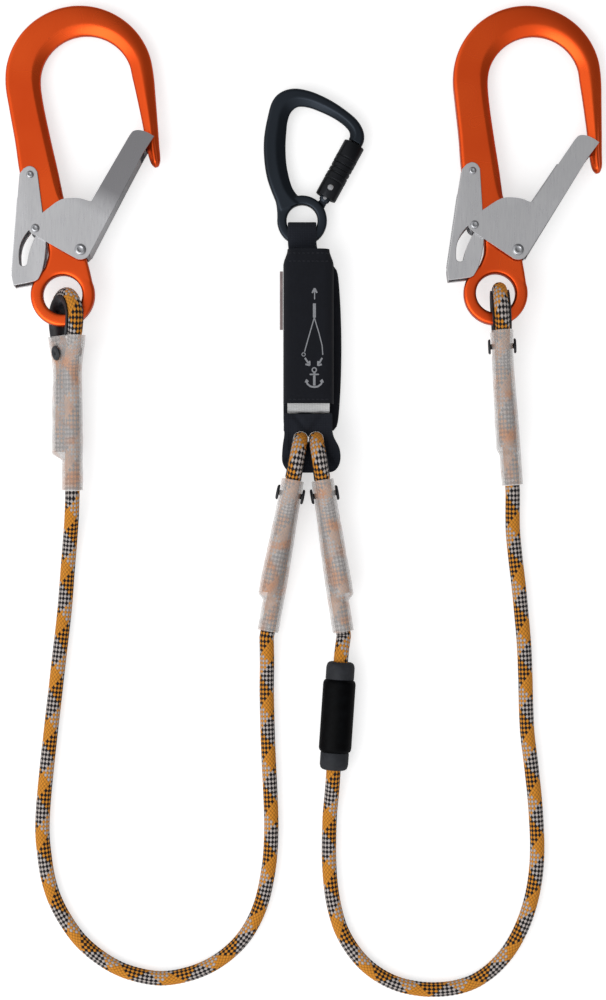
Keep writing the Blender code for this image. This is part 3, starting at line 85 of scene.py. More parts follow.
def on_floor(x: float, y: float, height: float) -> Vector:
    """Return the place of a pixel of the photograph at a height."""
    return Vector(((x - ORIGIN_PX[0]) * PIXEL, (ORIGIN_PX[1] - y) * PIXEL, height))


def point_at(centre: Point, radius: float, angle: float) -> Point:
    """Return the point of a circle at an angle."""
    return (centre[0] + radius * math.cos(angle), centre[1] + radius * math.sin(angle))


def arc(centre: Point, radius: float, start: float, end: float, steps: int) -> list[Point]:
    """Return points of an arc, both ends included.

    Args:
        centre: the circle's middle.
        radius: the circle's radius.
        start: first angle, in radians.
        end: last angle, in radians.
        steps: how many chords the arc has.

    Returns:
        The arc's points, in order.
    """
    return [point_at(centre, radius, start + (end - start) * i / steps) for i in range(steps + 1)]


def sweep(start: float, end: float, steps: int) -> list[Point]:
    """Return the cosine and sine of even steps between two angles, both ends included."""
    return arc((0.0, 0.0), 1.0, start, end, steps)


def round_steps(count: int) -> list[Point]:
    """Return the cosine and sine of even steps of one turn."""
    return sweep(0.0, 2 * math.pi, count)[:-1]


def squared(value: float, power: float = SQUARED) -> float:
    """Return a cosine or sine pushed outwards, so that a circle turns squarish."""
    return math.copysign(abs(value) ** power, value)


def mirrored(upper: Sequence[Point]) -> list[Point]:
    """Return a profile of (radius, height) from its upper half."""
    return [(r, -z) for r, z in reversed(upper)] + list(upper)


def smooth_step(value: float) -> float:
    """Return an eased 0 to 1."""
    value = min(1.0, max(0.0, value))
    return value * value * (3 - 2 * value)


def through(points: Sequence[Sequence[float]], parts: int) -> list[Vector]:
    """Return a smooth line through points, with each span in equal parts.

    Args:
        points: two or more points, of two or three numbers.
        parts: how many parts each span gets.

    Returns:
        The line's points, both ends included.
    """
    chosen = [Vector((*p, 0.0)) if len(p) == 2 else Vector(p) for p in points]
    padded = [chosen[0] * 2 - chosen[1]] + chosen + [chosen[-1] * 2 - chosen[-2]]
    line = []
    for a, b, c, d in zip(padded, padded[1:], padded[2:], padded[3:]):
        t1 = max(1e-6, (b - a).length ** 0.5)
        t2 = t1 + max(1e-6, (c - b).length ** 0.5)
        t3 = t2 + max(1e-6, (d - c).length ** 0.5)
        for step in range(parts):
            t = t1 + (t2 - t1) * step / parts
            ab = a * ((t1 - t) / t1) + b * (t / t1)
            bc = b * ((t2 - t) / (t2 - t1)) + c * ((t - t1) / (t2 - t1))
            cd = c * ((t3 - t) / (t3 - t2)) + d * ((t - t2) / (t3 - t2))
            abc = ab * ((t2 - t) / t2) + bc * (t / t2)
            bcd = bc * ((t3 - t) / (t3 - t1)) + cd * ((t - t1) / (t3 - t1))
            line.append(abc * ((t2 - t) / (t2 - t1)) + bcd * ((t - t1) / (t2 - t1)))
    return line + [chosen[-1]]


def evenly(line: Sequence[Vector], spacing: float) -> list[Vector]:
    """Return points at even steps along a line.

    Args:
        line: the line's points.
        spacing: the wanted step, which is fitted to a whole number of steps.

    Returns:
        The even points, both ends included.
    """
    lengths = [0.0]
    for a, b in zip(line, line[1:]):
        lengths.append(lengths[-1] + (b - a).length)
    count = max(2, round(lengths[-1] / spacing))
    result = []
    index = 0
    for step in range(count + 1):
        want = lengths[-1] * step / count
        while index < len(line) - 2 and lengths[index + 1] < want:
            index += 1
        share = (want - lengths[index]) / max(1e-9, lengths[index + 1] - lengths[index])
        result.append(line[index].lerp(line[index + 1], min(1.0, share)))
    return result


def line_length(line: Sequence[Vector]) -> float:
    """Return the length of a line of points."""
    return sum((b - a).length for a, b in zip(line, line[1:]))


def tangent(line: Sequence[Vector], i: int) -> Vector:
    """Return the direction of a line at one of its points."""
    return (line[min(len(line) - 1, i + 1)] - line[max(0, i - 1)]).normalized()


def add_object(name: str, data: bpy.types.ID) -> Piece:
    """Link a new object, at the origin, and return it.

    Args:
        name: the object's name.
        data: its mesh, lamp or camera.

    Returns:
        The object.
    """
    made = bpy.data.objects.new(name, data)
    bpy.context.scene.collection.objects.link(made)
    return made


def mesh_piece(name: str, vertices: Iterable[Sequence[float]], faces: Iterable[Sequence[int]],
               sharp_deg: float = 35.0) -> Piece:
    """Make a closed piece from points and faces.

    Args:
        name: the piece's name.
        vertices: its points, in metres.
        faces: its faces, as rows of point numbers.
        sharp_deg: edges sharper than this keep a hard shade.

    Returns:
        The linked object, at the origin.
    """
    mesh = bpy.data.meshes.new(name)
    work = bmesh.new()
    made = [work.verts.new(v) for v in vertices]
    for face in faces:
        work.faces.new([made[i] for i in face])
    bmesh.ops.remove_doubles(work, verts=work.verts, dist=1e-7)
    bmesh.ops.recalc_face_normals(work, faces=work.faces)
    work.to_mesh(mesh)
    work.free()
    mesh.shade_smooth()
    mesh.set_sharp_from_angle(angle=math.radians(sharp_deg))
    return add_object(name, mesh)


def plate(name: str, outline: Sequence[Sequence[float]], low: float, high: float) -> Piece:
    """Make a flat piece.

    Args:
        name: the piece's name.
        outline: the points round it, of which X and Y are used.
        low: height of its underside.
        high: height of its upper side.

    Returns:
        The piece.
    """
    count = len(outline)
    vertices = [(p[0], p[1], low) for p in outline] + [(p[0], p[1], high) for p in outline]
    faces = [tuple(range(count))[::-1], tuple(range(count, 2 * count))]
    faces += [(i, (i + 1) % count, count + (i + 1) % count, count + i) for i in range(count)]
    return mesh_piece(name, vertices, faces)


def loft(name: str, rings: Sequence[Sequence[Vector]], closed: bool = False,
         sharp_deg: float = 35.0) -> Piece:
    """Make a piece through a row of rings.

    Args:
        name: the piece's name.
        rings: rows of equally many points.
        closed: whether the last ring joins the first, in place of two end faces.
        sharp_deg: edges sharper than this keep a hard shade.

    Returns:
        The piece.
    """
    count = len(rings[0])
    vertices = [tuple(v) for ring in rings for v in ring]
    faces: list[tuple[int, ...]] = []
    for s in range(len(rings) if closed else len(rings) - 1):
        a = s * count
        b = ((s + 1) % len(rings)) * count
        faces += [(a + i, a + (i + 1) % count, b + (i + 1) % count, b + i) for i in range(count)]
    if not closed:
        last = (len(rings) - 1) * count
        faces.append(tuple(range(count))[::-1])
        faces.append(tuple(range(last, last + count)))
    return mesh_piece(name, vertices, faces, sharp_deg)


def turned(name: str, profile: Sequence[Point], segments: int) -> Piece:
    """Turn a closed profile of (radius, height) about Z, in flat segments."""
    rings = [[Vector((r * cos, r * sin, z)) for r, z in profile] for cos, sin in round_steps(segments)]
    return loft(name, rings, closed=True)


def eyelet(hole: float, rim: float, thickness: float, steps: int, segments: int) -> Piece:
    """Make the ring of a forged eye about Z, with round shoulders.

    Args:
        hole: radius of the hole.
        rim: the outer radius.
        thickness: distance between its faces.
        steps: points round the section.
        segments: sections in a turn.

    Returns:
        The ring.
    """
    middle = (hole + rim) / 2
    reach = (rim - hole) / 2
    profile = []
    for cos, sin in round_steps(steps):
        profile.append((middle + reach * squared(cos), thickness / 2 * squared(sin)))
    return turned("eyelet", profile, segments)


def rounded_start(edge: float, top: float) -> list[Point]:
    """Return the first points of half a bar's section, round its outer edge."""
    turn = [(edge * (1 - math.cos(a)), top - edge * (1 - math.sin(a))) for a in (0.4, 0.8, 1.2)]
    return [(0.0, top - edge)] + turn


def bar_section(outer: Vector, inner: Vector, upper: list[Point]) -> list[Vector]:
    """Return one ring of a forged bar.

    Args:
        outer: the bar's outer edge.
        inner: the bar's inner edge.
        upper: the section's upper half, as distances from the outer edge and heights.

    Returns:
        The ring's points, with the lower half like the upper.
    """
    direction = (inner - outer).normalized()
    ring = upper + [(d, -z) for d, z in reversed(upper)]
    return [outer + direction * d + Vector((0, 0, z)) for d, z in ring]


def settle(piece: Piece) -> Piece:
    """Turn a piece's modifiers into plain mesh.

    Args:
        piece: the piece.

    Returns:
        The same piece.
    """
    graph = bpy.context.evaluated_depsgraph_get()
    mesh = bpy.data.meshes.new_from_object(piece.evaluated_get(graph))
    piece.modifiers.clear()
    old = piece.data
    piece.data = mesh
    bpy.data.meshes.remove(old)
    return piece


def combine(piece: Piece, tool: Piece, join: Join = Join.CUT) -> None:
    """Cut a piece with a tool or add the tool to it, and drop the tool.

    Args:
        piece: the piece that stays.
        tool: the solid that works on it.
        join: whether it cuts or adds.
    """
    modifier = piece.modifiers.new("combine", "BOOLEAN")
    modifier.operation = join.value
    modifier.object = tool
    modifier.solver = "EXACT"
    settle(piece)
    bpy.data.objects.remove(tool)


def combine_plate(piece: Piece, outline: Sequence[Sequence[float]], low: float, high: float,
                  join: Join = Join.CUT) -> None:
    """Cut a flat form out of a piece, or add it."""
    combine(piece, plate("form", outline, low, high), join)


def round_edges(piece: Piece, width: float, segments: int = 2, angle_deg: float = 32.0) -> None:
    """Round a piece's sharp edges.

    Args:
        piece: the piece.
        width: how far the rounding reaches from an edge.
        segments: how many flats it has.
        angle_deg: edges flatter than this stay.
    """
    modifier = piece.modifiers.new("edges", "BEVEL")
    modifier.width = width
    modifier.segments = segments
    modifier.limit_method = "ANGLE"
    modifier.angle_limit = math.radians(angle_deg)
    modifier.harden_normals = True
    settle(piece)


def roll_edges(piece: Piece, start: Vector, end: Vector, width: float) -> None:
    """Roll the two long edges of a plate between two corners, as a sheet's bend does.

    Args:
        piece: the plate.
        start: one corner of its outline.
        end: the next corner.
        width: the bend's outer radius.
    """
    work = bmesh.new()
    work.from_mesh(piece.data)
    chosen = []
    for edge in work.edges:
        corners = [Vector(v.co[:2]) for v in edge.verts]
        level = abs(edge.verts[0].co.z - edge.verts[1].co.z) < 1e-6
        if level and all(min((c - start).length, (c - end).length) < 1e-5 for c in corners):
            chosen.append(edge)
    bmesh.ops.bevel(work, geom=chosen, offset=width, segments=6, profile=0.5, affect="EDGES")
    work.to_mesh(piece.data)
    work.free()


def forge(piece: Piece, grain: float, passes: int) -> None:
    """Run a joined solid into one smooth forging with small fillets.

    Args:
        piece: the joined solid.
        grain: size of the mesh, in metres.
        passes: how often the surface is relaxed.
    """
    remesh = piece.modifiers.new("skin", "REMESH")
    remesh.mode = "VOXEL"
    remesh.voxel_size = grain
    remesh.use_smooth_shade = True
    relax = piece.modifiers.new("relax", "SMOOTH")
    relax.factor = 0.5
    relax.iterations = passes
    settle(piece)


def place(piece: Piece, matrix: Matrix) -> Piece:
    """Move a piece's points to their place, its object staying at the origin.

    Args:
        piece: the piece to move.
        matrix: where to.

    Returns:
        The same piece.
    """
    piece.data.transform(matrix)
    piece.data.update()
    return piece


def lay_on(piece: Piece, carrier: Piece, lift: float) -> None:
    """Lower a flat piece's points onto what is below them.

    Args:
        piece: the flat piece, above its carrier.
        carrier: the piece it lies on.
        lift: how far it stays above the surface.
    """
    tree = BVHTree.FromObject(carrier, bpy.context.evaluated_depsgraph_get())
    base = min(v.co.z for v in piece.data.vertices)
    for vertex in piece.data.vertices:
        hit = tree.ray_cast(Vector((vertex.co.x, vertex.co.y, base + 0.05)), Vector((0, 0, -1)))[0]
        if hit is not None:
            vertex.co.z = hit.z + lift + (vertex.co.z - base)


# Finishes


def srgb(code: str) -> tuple[float, float, float, float]:
    """Return a hex colour as linear red, green, blue and alpha.

    Args:
        code: the colour, as #RRGGBB.

    Returns:
        The four values.
    """
    values = [int(code[i:i + 2], 16) / 255 for i in (1, 3, 5)]
    red, green, blue = [v / 12.92 if v <= 0.04045 else ((v + 0.055) / 1.055) ** 2.4 for v in values]
    return (red, green, blue, 1.0)


def feed(tree: Tree, node: Node, values: dict) -> None:
    """Fill a node's inputs.

    Args:
        tree: the tree that the node is in.
        node: the node.
        values: input name or number to a value, or to the socket that feeds it.
    """
    for key, value in values.items():
        if isinstance(value, Socket):
            tree.links.new(value, node.inputs[key])
        else:
            node.inputs[key].default_value = value


def add_node(tree: Tree, kind: str, values: dict | None = None, **settings: object) -> Node:
    """Add a node with its settings, values and links.

    Args:
        tree: the tree it goes into.
        kind: Blender's name of the node's type.
        values: input name or number to a value, or to the socket that feeds it.
        settings: the node's own properties.

    Returns:
        The node.
    """
    node = tree.nodes.new(kind)
    for name, value in settings.items():
        setattr(node, name, value)
    feed(tree, node, values or {})
    return node


@dataclass(frozen=True)
class Surface:
    """A material's node tree and its shader, with the steps that a finish takes on them."""

    tree: Tree
    shader: Node

    def place_in_object(self) -> Socket:
        """Return the place on the piece, in metres."""
        return add_node(self.tree, "ShaderNodeTexCoord").outputs["Object"]

    def grain(self, size: float, detail: float = 2.0, stretch: Sequence[float] = (1.0, 1.0, 1.0)) -> Socket:
        """Return a noise of a real size.

        Args:
            size: width of one grain, in metres.
            detail: the noise's octaves.
            stretch: scale along each axis, under 1 for longer grains.

        Returns:
            The noise's factor.
        """
        stretched = {"Vector": self.place_in_object(), "Scale": stretch}
        mapped = add_node(self.tree, "ShaderNodeMapping", stretched)
        values = {"Vector": mapped.outputs[0], "Scale": 1 / size, "Detail": detail}
        return add_node(self.tree, "ShaderNodeTexNoise", values).outputs["Fac"]

    def blend(self, factor: Socket, first: Socket | str, second: Socket | str) -> Socket:
        """Return a colour between two, each a socket or a hex colour.

        Args:
            factor: 0 for the first, 1 for the second.
            first: one colour.
            second: the other colour.

        Returns:
            The colour between.
        """
        ends = [srgb(end) if isinstance(end, str) else end for end in (first, second)]
        values = {0: factor, 6: ends[0], 7: ends[1]}
        return add_node(self.tree, "ShaderNodeMix", values, data_type="RGBA").outputs[2]

    def either(self, factor: Socket, first: Socket, second: Socket) -> Socket:
        """Return a number between two, by a factor."""
        return add_node(self.tree, "ShaderNodeMix", {0: factor, 2: first, 3: second}).outputs[0]

    def span(self, value: Socket, low: float, high: float, to_low: float = 0.0,
             to_high: float = 1.0) -> Socket:
        """Return a value mapped from one range to another."""
        ends = {0: value, 1: low, 2: high, 3: to_low, 4: to_high}
        return add_node(self.tree, "ShaderNodeMapRange", ends).outputs[0]

    def sums(self, operation: str, first: Socket, second: Socket | float = 0.0) -> Socket:
        """Return one step of sums."""
        return add_node(self.tree, "ShaderNodeMath", {0: first, 1: second}, operation=operation).outputs[0]

    def fill(self, values: dict) -> None:
        """Fill the shader's inputs."""
        feed(self.tree, self.shader, values)

    def bump(self, height: Socket, depth: float, strength: float = 1.0) -> None:
        """Raise the surface by a height of 0 to 1 over a depth in metres."""
        values = {"Height": height, "Distance": depth, "Strength": strength}
        self.fill({"Normal": add_node(self.tree, "ShaderNodeBump", values).outputs[0]})


@dataclass(frozen=True)
class Finish:
    """A finish of the lanyard, named for what the real surface is."""

    name: str

    def material(self) -> bpy.types.Material:
        """Return the finish's material, made once."""
        made = bpy.data.materials.get(self.name)
        if made is None:
            made = bpy.data.materials.new(self.name)
            made.use_nodes = True
            self.dress(Surface(made.node_tree, made.node_tree.nodes["Principled BSDF"]))
        return made

    def dress(self, face: Surface) -> None:
        """Fill the material's tree."""
        raise NotImplementedError


@dataclass(frozen=True)
class AnodisedAluminium(Finish):
    """Hot-forged aluminium, bead blasted and dyed: satin and even, with a painted highlight that makes convex
    edges paler.
    """

    colour: str
    shade: str
    # The edge colour is a painted highlight on convex edges.
    edge: str
    roughness: float
    metallic: float
    cloud_mm: float = 40
    blast_mm: float = 0.35
    blast_depth_mm: float = 0.02

    def dress(self, face: Surface) -> None:
        """Fill the material's tree.

        Args:
            face: the material's surface.
        """
        clouds = face.grain(self.cloud_mm * MILLIMETRE, 1.0)
        tone = face.blend(face.span(clouds, *NOISE), self.colour, self.shade)
        # Painted highlight: convex edges, found by pointiness, are blended towards the paler edge colour.
        point = add_node(face.tree, "ShaderNodeNewGeometry").outputs["Pointiness"]
        wear_and_highlight = face.span(point, 0.56, 0.66, 0.0, 0.4)
        face.fill({"Base Color": face.blend(wear_and_highlight, tone, self.edge), "Metallic": self.metallic,
                   "Roughness": face.span(clouds, *NOISE, self.roughness - 0.04, self.roughness + 0.04)})
        # The real blast grain is 0.1 mm; it is drawn three times as coarse so that it shows
        face.bump(face.grain(self.blast_mm * MILLIMETRE), self.blast_depth_mm * MILLIMETRE, 0.6)


@dataclass(frozen=True)
class StampedStainless(Finish):
    """Cold-rolled stainless sheet, pressed and tumbled: bright, finely brushed along the part."""

    colour: str = "#CCCCCE"
    shade: str = "#C6C6C9"
    brush_mm: float = 0.90
    brush_depth_mm: float = 0.003
    roughness: float = 0.27

    def dress(self, face: Surface) -> None:
        """Fill the material's tree.

        Args:
            face: the material's surface.
        """
        brushed = face.grain(self.brush_mm * MILLIMETRE, 1.0, (1.0, 0.04, 1.0))
        tone = face.blend(face.span(brushed, *NOISE), self.shade, self.colour)
        face.fill({"Base Color": tone, "Metallic": 1.0, "Anisotropic": 0.35,
                   "Roughness": face.span(brushed, *NOISE, self.roughness, self.roughness + 0.06)})
        face.bump(brushed, self.brush_depth_mm * MILLIMETRE, 0.15)


@dataclass(frozen=True)
class ShadedArmStainless(StampedStainless):
    """The same sheet with painted shade on its arm, which darkens from its root upwards."""

    arm_shade: str = "#8E8D90"
    root: Point = (-0.1600, 0.0770)
    clear: Point = (-0.1500, 0.0960)

    def dress(self, face: Surface) -> None:
        """Fill the material's tree.

        Args:
            face: the material's surface.
        """
        super().dress(face)
        # Painted shade: the arm's colour is blended towards the darker arm shade from its root upwards.
        bright = face.shader.inputs["Base Color"].links[0].from_socket
        along = (Vector(self.clear) - Vector(self.root)).normalized()
        sides = {0: face.place_in_object(), 1: (along.x, along.y, 0.0)}
        reach = add_node(face.tree, "ShaderNodeVectorMath", sides, operation="DOT_PRODUCT").outputs["Value"]
        painted_shade = face.span(reach, along.dot(Vector(self.root)), along.dot(Vector(self.clear)))
        face.fill({"Base Color": face.blend(painted_shade, bright, self.arm_shade)})


@dataclass(frozen=True)
class TurnedSteel(Finish):
    """Turned and riveted steel: small, bright, with a soft spun face."""

    colour: str = "#B4B5B8"
    shade: str = "#8E8F93"
    roughness: float = 0.22
    spin_mm: float = 0.25
    spin_depth_mm: float = 0.02

    def dress(self, face: Surface) -> None:
        """Fill the material's tree.

        Args:
            face: the material's surface.
        """
        spun = face.grain(self.spin_mm * MILLIMETRE)
        face.fill({"Base Color": face.blend(spun, self.shade, self.colour), "Metallic": 1.0,
                   "Roughness": face.span(spun, *NOISE, self.roughness, self.roughness + 0.1)})
        face.bump(spun, self.spin_depth_mm * MILLIMETRE, 0.5)


@dataclass(frozen=True)
class MouldedPlastic(Finish):
    """Injection-moulded nylon or rubber: even colour under a fine spark-eroded mould grain."""

    colour: str
    highlight: str
    roughness: float
    grain_mm: float = 0.5
    depth_mm: float = 0.03
    gloss: float = 0.35
    cloud_mm: float = 6

    def dress(self, face: Surface) -> None:
        """Fill the material's tree.

        Args:
            face: the material's surface.
        """
        eroded = face.grain(self.grain_mm * MILLIMETRE, 3.0)
        clouds = face.span(face.grain(self.cloud_mm * MILLIMETRE), 0.35, 0.7)
        face.fill({"Base Color": face.blend(clouds, self.colour, self.highlight),
                   "Roughness": face.span(eroded, *NOISE, self.roughness, self.roughness + 0.12),
                   "IOR": 1.5, "Specular IOR Level": self.gloss})
        face.bump(eroded, self.depth_mm * MILLIMETRE)


@dataclass(frozen=True)
class MilkySleeve(Finish):
    """Polyolefin shrink sleeve: cloudy and translucent, waxy, with the rope showing through."""

    colour: str = "#E2DEDC"
    shade: str = "#C9C6C5"
    glow: str = "#EFAE83"
    roughness: float = 0.38
    cover: float = 0.30
    cloud_mm: float = 7
    crease_mm: float = 2.5
    crease_depth_mm: float = 0.3
    glow_mm: float = 14

    def dress(self, face: Surface) -> None:
        """Fill the material's tree.

        Args:
            face: the material's surface.
        """
        clouds = face.grain(self.cloud_mm * MILLIMETRE, 3.0)
        creases = face.grain(self.crease_mm * MILLIMETRE, 2.0, (1.0, 0.25, 1.0))
        milky = face.blend(face.span(clouds, 0.35, 0.65), self.colour, self.shade)
        # Where the film clings to the orange strands, their colour comes through
        warm = face.span(face.grain(self.glow_mm * MILLIMETRE, 1.0), 0.50, 0.64, 0.0, 0.55)
        face.fill({"Base Color": face.blend(warm, milky, self.glow), "Roughness": self.roughness, "IOR": 1.49,
                   "Alpha": face.span(clouds, *NOISE, self.cover - 0.05, self.cover + 0.08)})
        face.bump(creases, self.crease_depth_mm * MILLIMETRE, 0.5)


@dataclass(frozen=True)
class BraidedSheath(Finish):
    """Kernmantle sheath of 24 polyamide strands, 12 each way, one over one.

    The mesh's map holds turns round the rope across and braid pitches along it, so the strands
    follow the rope. One way carries 5 orange and 7 black strands, the other 6 orange and 6 grey.
    """

    strands: int = 12
    warm: str = "#F0A334"
    warm_dark: str = "#BE7218"
    dark: str = "#0B090F"
    pale: str = "#D8D0CC"
    pale_dark: str = "#9E938E"
    # The groove colour is painted shade between the strands.
    groove: str = "#100C0A"
    filaments: int = 4
    fleck_mm: float = 0.5
    relief_mm: float = 0.3

    def dress(self, face: Surface) -> None:
        """Fill the material's tree.

        Args:
            face: the material's surface.
        """
        sheath_map = add_node(face.tree, "ShaderNodeUVMap").outputs[0]
        turn, pitch = add_node(face.tree, "ShaderNodeSeparateXYZ", {0: sheath_map}).outputs[:2]
        ways = []
        for operation, orange_strands in (("SUBTRACT", 5), ("ADD", 6)):
            strand = face.sums("MULTIPLY", face.sums(operation, turn, pitch), float(self.strands))
            cell = face.sums("FLOOR", strand)
            number = face.sums("FLOORED_MODULO", cell, float(self.strands))
            orange = face.sums("LESS_THAN", number, orange_strands - 0.5)
            ways.append((cell, orange, face.sums("FRACT", strand)))
        (rising_cell, rising_warm, rising_part), (falling_cell, falling_warm, falling_part) = ways
        rising_on_top = face.sums("FLOORED_MODULO", face.sums("ADD", rising_cell, falling_cell), 2.0)
        fleck = face.grain(self.fleck_mm * MILLIMETRE, 3.0)
        warm = face.blend(fleck, self.warm_dark, self.warm)
        pale = face.blend(fleck, self.pale_dark, self.pale)
        rising_tone = face.blend(rising_warm, self.dark, warm)
        tone = face.blend(rising_on_top, face.blend(falling_warm, pale, warm), rising_tone)
        # Across a strand: painted shade in the groove beside it, crowned in its middle, and its filaments
        across = face.either(rising_on_top, falling_part, rising_part)
        along = face.either(rising_on_top, rising_part, falling_part)
        crown, swell = [face.sums("SINE", face.sums("MULTIPLY", part, math.pi)) for part in (across, along)]
        body = face.sums("POWER", face.sums("MULTIPLY", crown, swell), 0.5)
        yarn = face.sums("SINE", face.sums("MULTIPLY", across, 2 * math.pi * self.filaments))
        shade = face.span(body, 0.0, 0.75, 0.62, 0.0)
        face.fill({"Base Color": face.blend(shade, tone, self.groove), "Roughness": 0.72,
                   "Specular IOR Level": 0.25, "Sheen Weight": 0.05})
        face.bump(face.sums("ADD", body, face.sums("MULTIPLY", yarn, 0.10)), self.relief_mm * MILLIMETRE)


@dataclass(frozen=True)
class WovenWebbing(Finish):
    """Polyester webbing or pouch cloth: plain weave of visible ribs, matt with a faint sheen."""

    colour: str
    thread: str
    rib_mm: float
    depth_mm: float
    sheen: float
    fuzz_mm: float = 0.35
    fade_mm: float = 12

    def dress(self, face: Surface) -> None:
        """Fill the material's tree.

        Args:
            face: the material's surface.
        """
        ribs = {"Vector": face.place_in_object(), "Scale": math.pi / (10 * self.rib_mm * MILLIMETRE),
                "Distortion": 0.6, "Detail": 1.0, "Detail Scale": 2.0}
        warp, weft = [add_node(face.tree, "ShaderNodeTexWave", ribs, wave_type="BANDS", bands_direction=axis,
                               wave_profile="SIN").outputs["Fac"] for axis in "XY"]
        weave = face.sums("MULTIPLY", warp, weft)
        tone = face.blend(face.span(weave, 0.1, 0.8, 0.0, 0.7), self.colour, self.thread)
        faded = face.span(face.grain(self.fade_mm * MILLIMETRE, 3.0), 0.45, 0.75, 0.0, 0.35)
        face.fill({"Base Color": face.blend(faded, tone, self.thread), "Roughness": 0.85,
                   "Specular IOR Level": 0.2, "Sheen Weight": self.sheen})
        fuzz = face.grain(self.fuzz_mm * MILLIMETRE, 3.0)
        face.bump(face.sums("ADD", weave, fuzz), self.depth_mm * MILLIMETRE)


@dataclass(frozen=True)
class PrintedInk(Finish):
    """Screen-printed ink on cloth: flat grey, thin, broken a little by the weave."""

    colour: str = "#8C8E93"
    wear_and_highlight: str = "#5C5E64"
    break_mm: float = 0.6
    depth_mm: float = 0.04

    def dress(self, face: Surface) -> None:
        """Fill the material's tree.

        Args:
            face: the material's surface.
        """
        broken = face.grain(self.break_mm * MILLIMETRE, 3.0)
        face.fill({"Base Color": face.blend(face.span(broken, 0.5, 0.75, 0.0, 0.8), self.colour, self.wear_and_highlight),
                   "Roughness": 0.7})
        face.bump(broken, self.depth_mm * MILLIMETRE)


@dataclass(frozen=True)
class StudioSweep(Finish):
    """Painted studio floor: plain, pale and matt."""

    colour: str = "#DCDCDC"
    shade: str = "#D9D9DA"
    patch: float = 0.4
    glow: float = 0.56

    def dress(self, face: Surface) -> None:
        """Fill the material's tree.

        Args:
            face: the material's surface.
        """
        # The camera sees the floor as white paper, with the shadows kept
        seen = add_node(face.tree, "ShaderNodeLightPath").outputs["Is Camera Ray"]
        face.fill({"Base Color": face.blend(face.grain(self.patch, 1.0), self.colour, self.shade),
                   "Roughness": 0.9, "Specular IOR Level": 0.1, "Emission Color": srgb("#FFFFFF"),
                   "Emission Strength": face.span(seen, 0.0, 1.0, 0.0, self.glow)})


ORANGE_FORGING = AnodisedAluminium("orange_anodised_aluminium", "#EC5820", "#E04E1A", "#F57F48", 0.28, 0.9)
BLACK_FORGING = AnodisedAluminium("black_anodised_aluminium", "#242A32", "#1E242B", "#555B63", 0.34, 0.8)
BLACK_COLLET = AnodisedAluminium("black_turned_aluminium", "#15171C", "#101216", "#34373D", 0.32, 0.7)
STAINLESS = StampedStainless("stamped_stainless_sheet")
# The darker arm of this finish is painted shade.
SHADED_ARM_STAINLESS = ShadedArmStainless("stamped_stainless_shaded_arm")
RIVET_STEEL = TurnedSteel("turned_rivet_steel")
BLACK_NYLON = MouldedPlastic("black_moulded_nylon", "#15171B", "#2A2D33", 0.38)
COVER_FOIL = MouldedPlastic("black_cover_foil", "#020203", "#060709", 0.45, 1.4, 0.02, 0.05)
GREY_RUBBER = MouldedPlastic("grey_moulded_rubber", "#232529", "#2D2F34", 0.55, 0.6, 0.05, 0.2)
SHRINK_SLEEVE = MilkySleeve("milky_shrink_sleeve")
ROPE_SHEATH = BraidedSheath("braided_rope_sheath")
POUCH_CLOTH = WovenWebbing("black_pouch_cloth", "#0C0E15", "#171A22", 0.9, 0.10, 0.05)
WEB_CLOTH = WovenWebbing("black_webbing", "#151820", "#262A33", 1.3, 0.15, 0.06)
TEAR_CLOTH = WovenWebbing("white_tear_webbing", "#C6C7C8", "#EDEDED", 1.2, 0.35, 0.1)
THREAD = WovenWebbing("black_sewing_thread", "#1E2026", "#3A3D45", 0.5, 0.05, 0.1)
SLEEVE_THREAD = WovenWebbing("blue_grey_sewing_thread", "#6E7480", "#A9AEB8", 0.5, 0.05, 0.1)
PAGE_PAPER = WovenWebbing("label_page_edges", "#6F6467", "#C9B4AE", 0.9, 0.04, 0.0)
INK = PrintedInk("grey_screen_ink")
FLOOR = StudioSweep("studio_floor")


def show(piece: Piece, finish: Finish, body: str, slot: str, *nodes: str) -> Piece:
    """Dress a finished piece and tie it to the frame.

    Args:
        piece: the piece, at the origin.
        finish: its finish.
        body: the body it moves with.
        slot: the record's material slot; not used.
        nodes: the solids it stands for.

    Returns:
        The piece.
    """
    piece.data.materials.clear()
    piece.data.materials.append(finish.material())
    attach(piece, body)
    if nodes:
        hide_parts(*nodes)
    LOG.info("%s: %d faces, rides on %s", piece.name, len(piece.data.polygons), body)
    return piece


def dress_solids(finish: Finish, *nodes: str) -> None:
    """Give solids that stay in view their finish.

    Args:
        finish: the finish.
        nodes: the solids' names.
    """
    for node in nodes:
        for material_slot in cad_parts[node].material_slots:
            material_slot.material = finish.material()
        LOG.info("%s keeps its solid", node)


# Rows of small copies


class Copy(Enum):
    """What a row repeats."""

    STITCH = "stitch"
    RIDGE = "ridge"


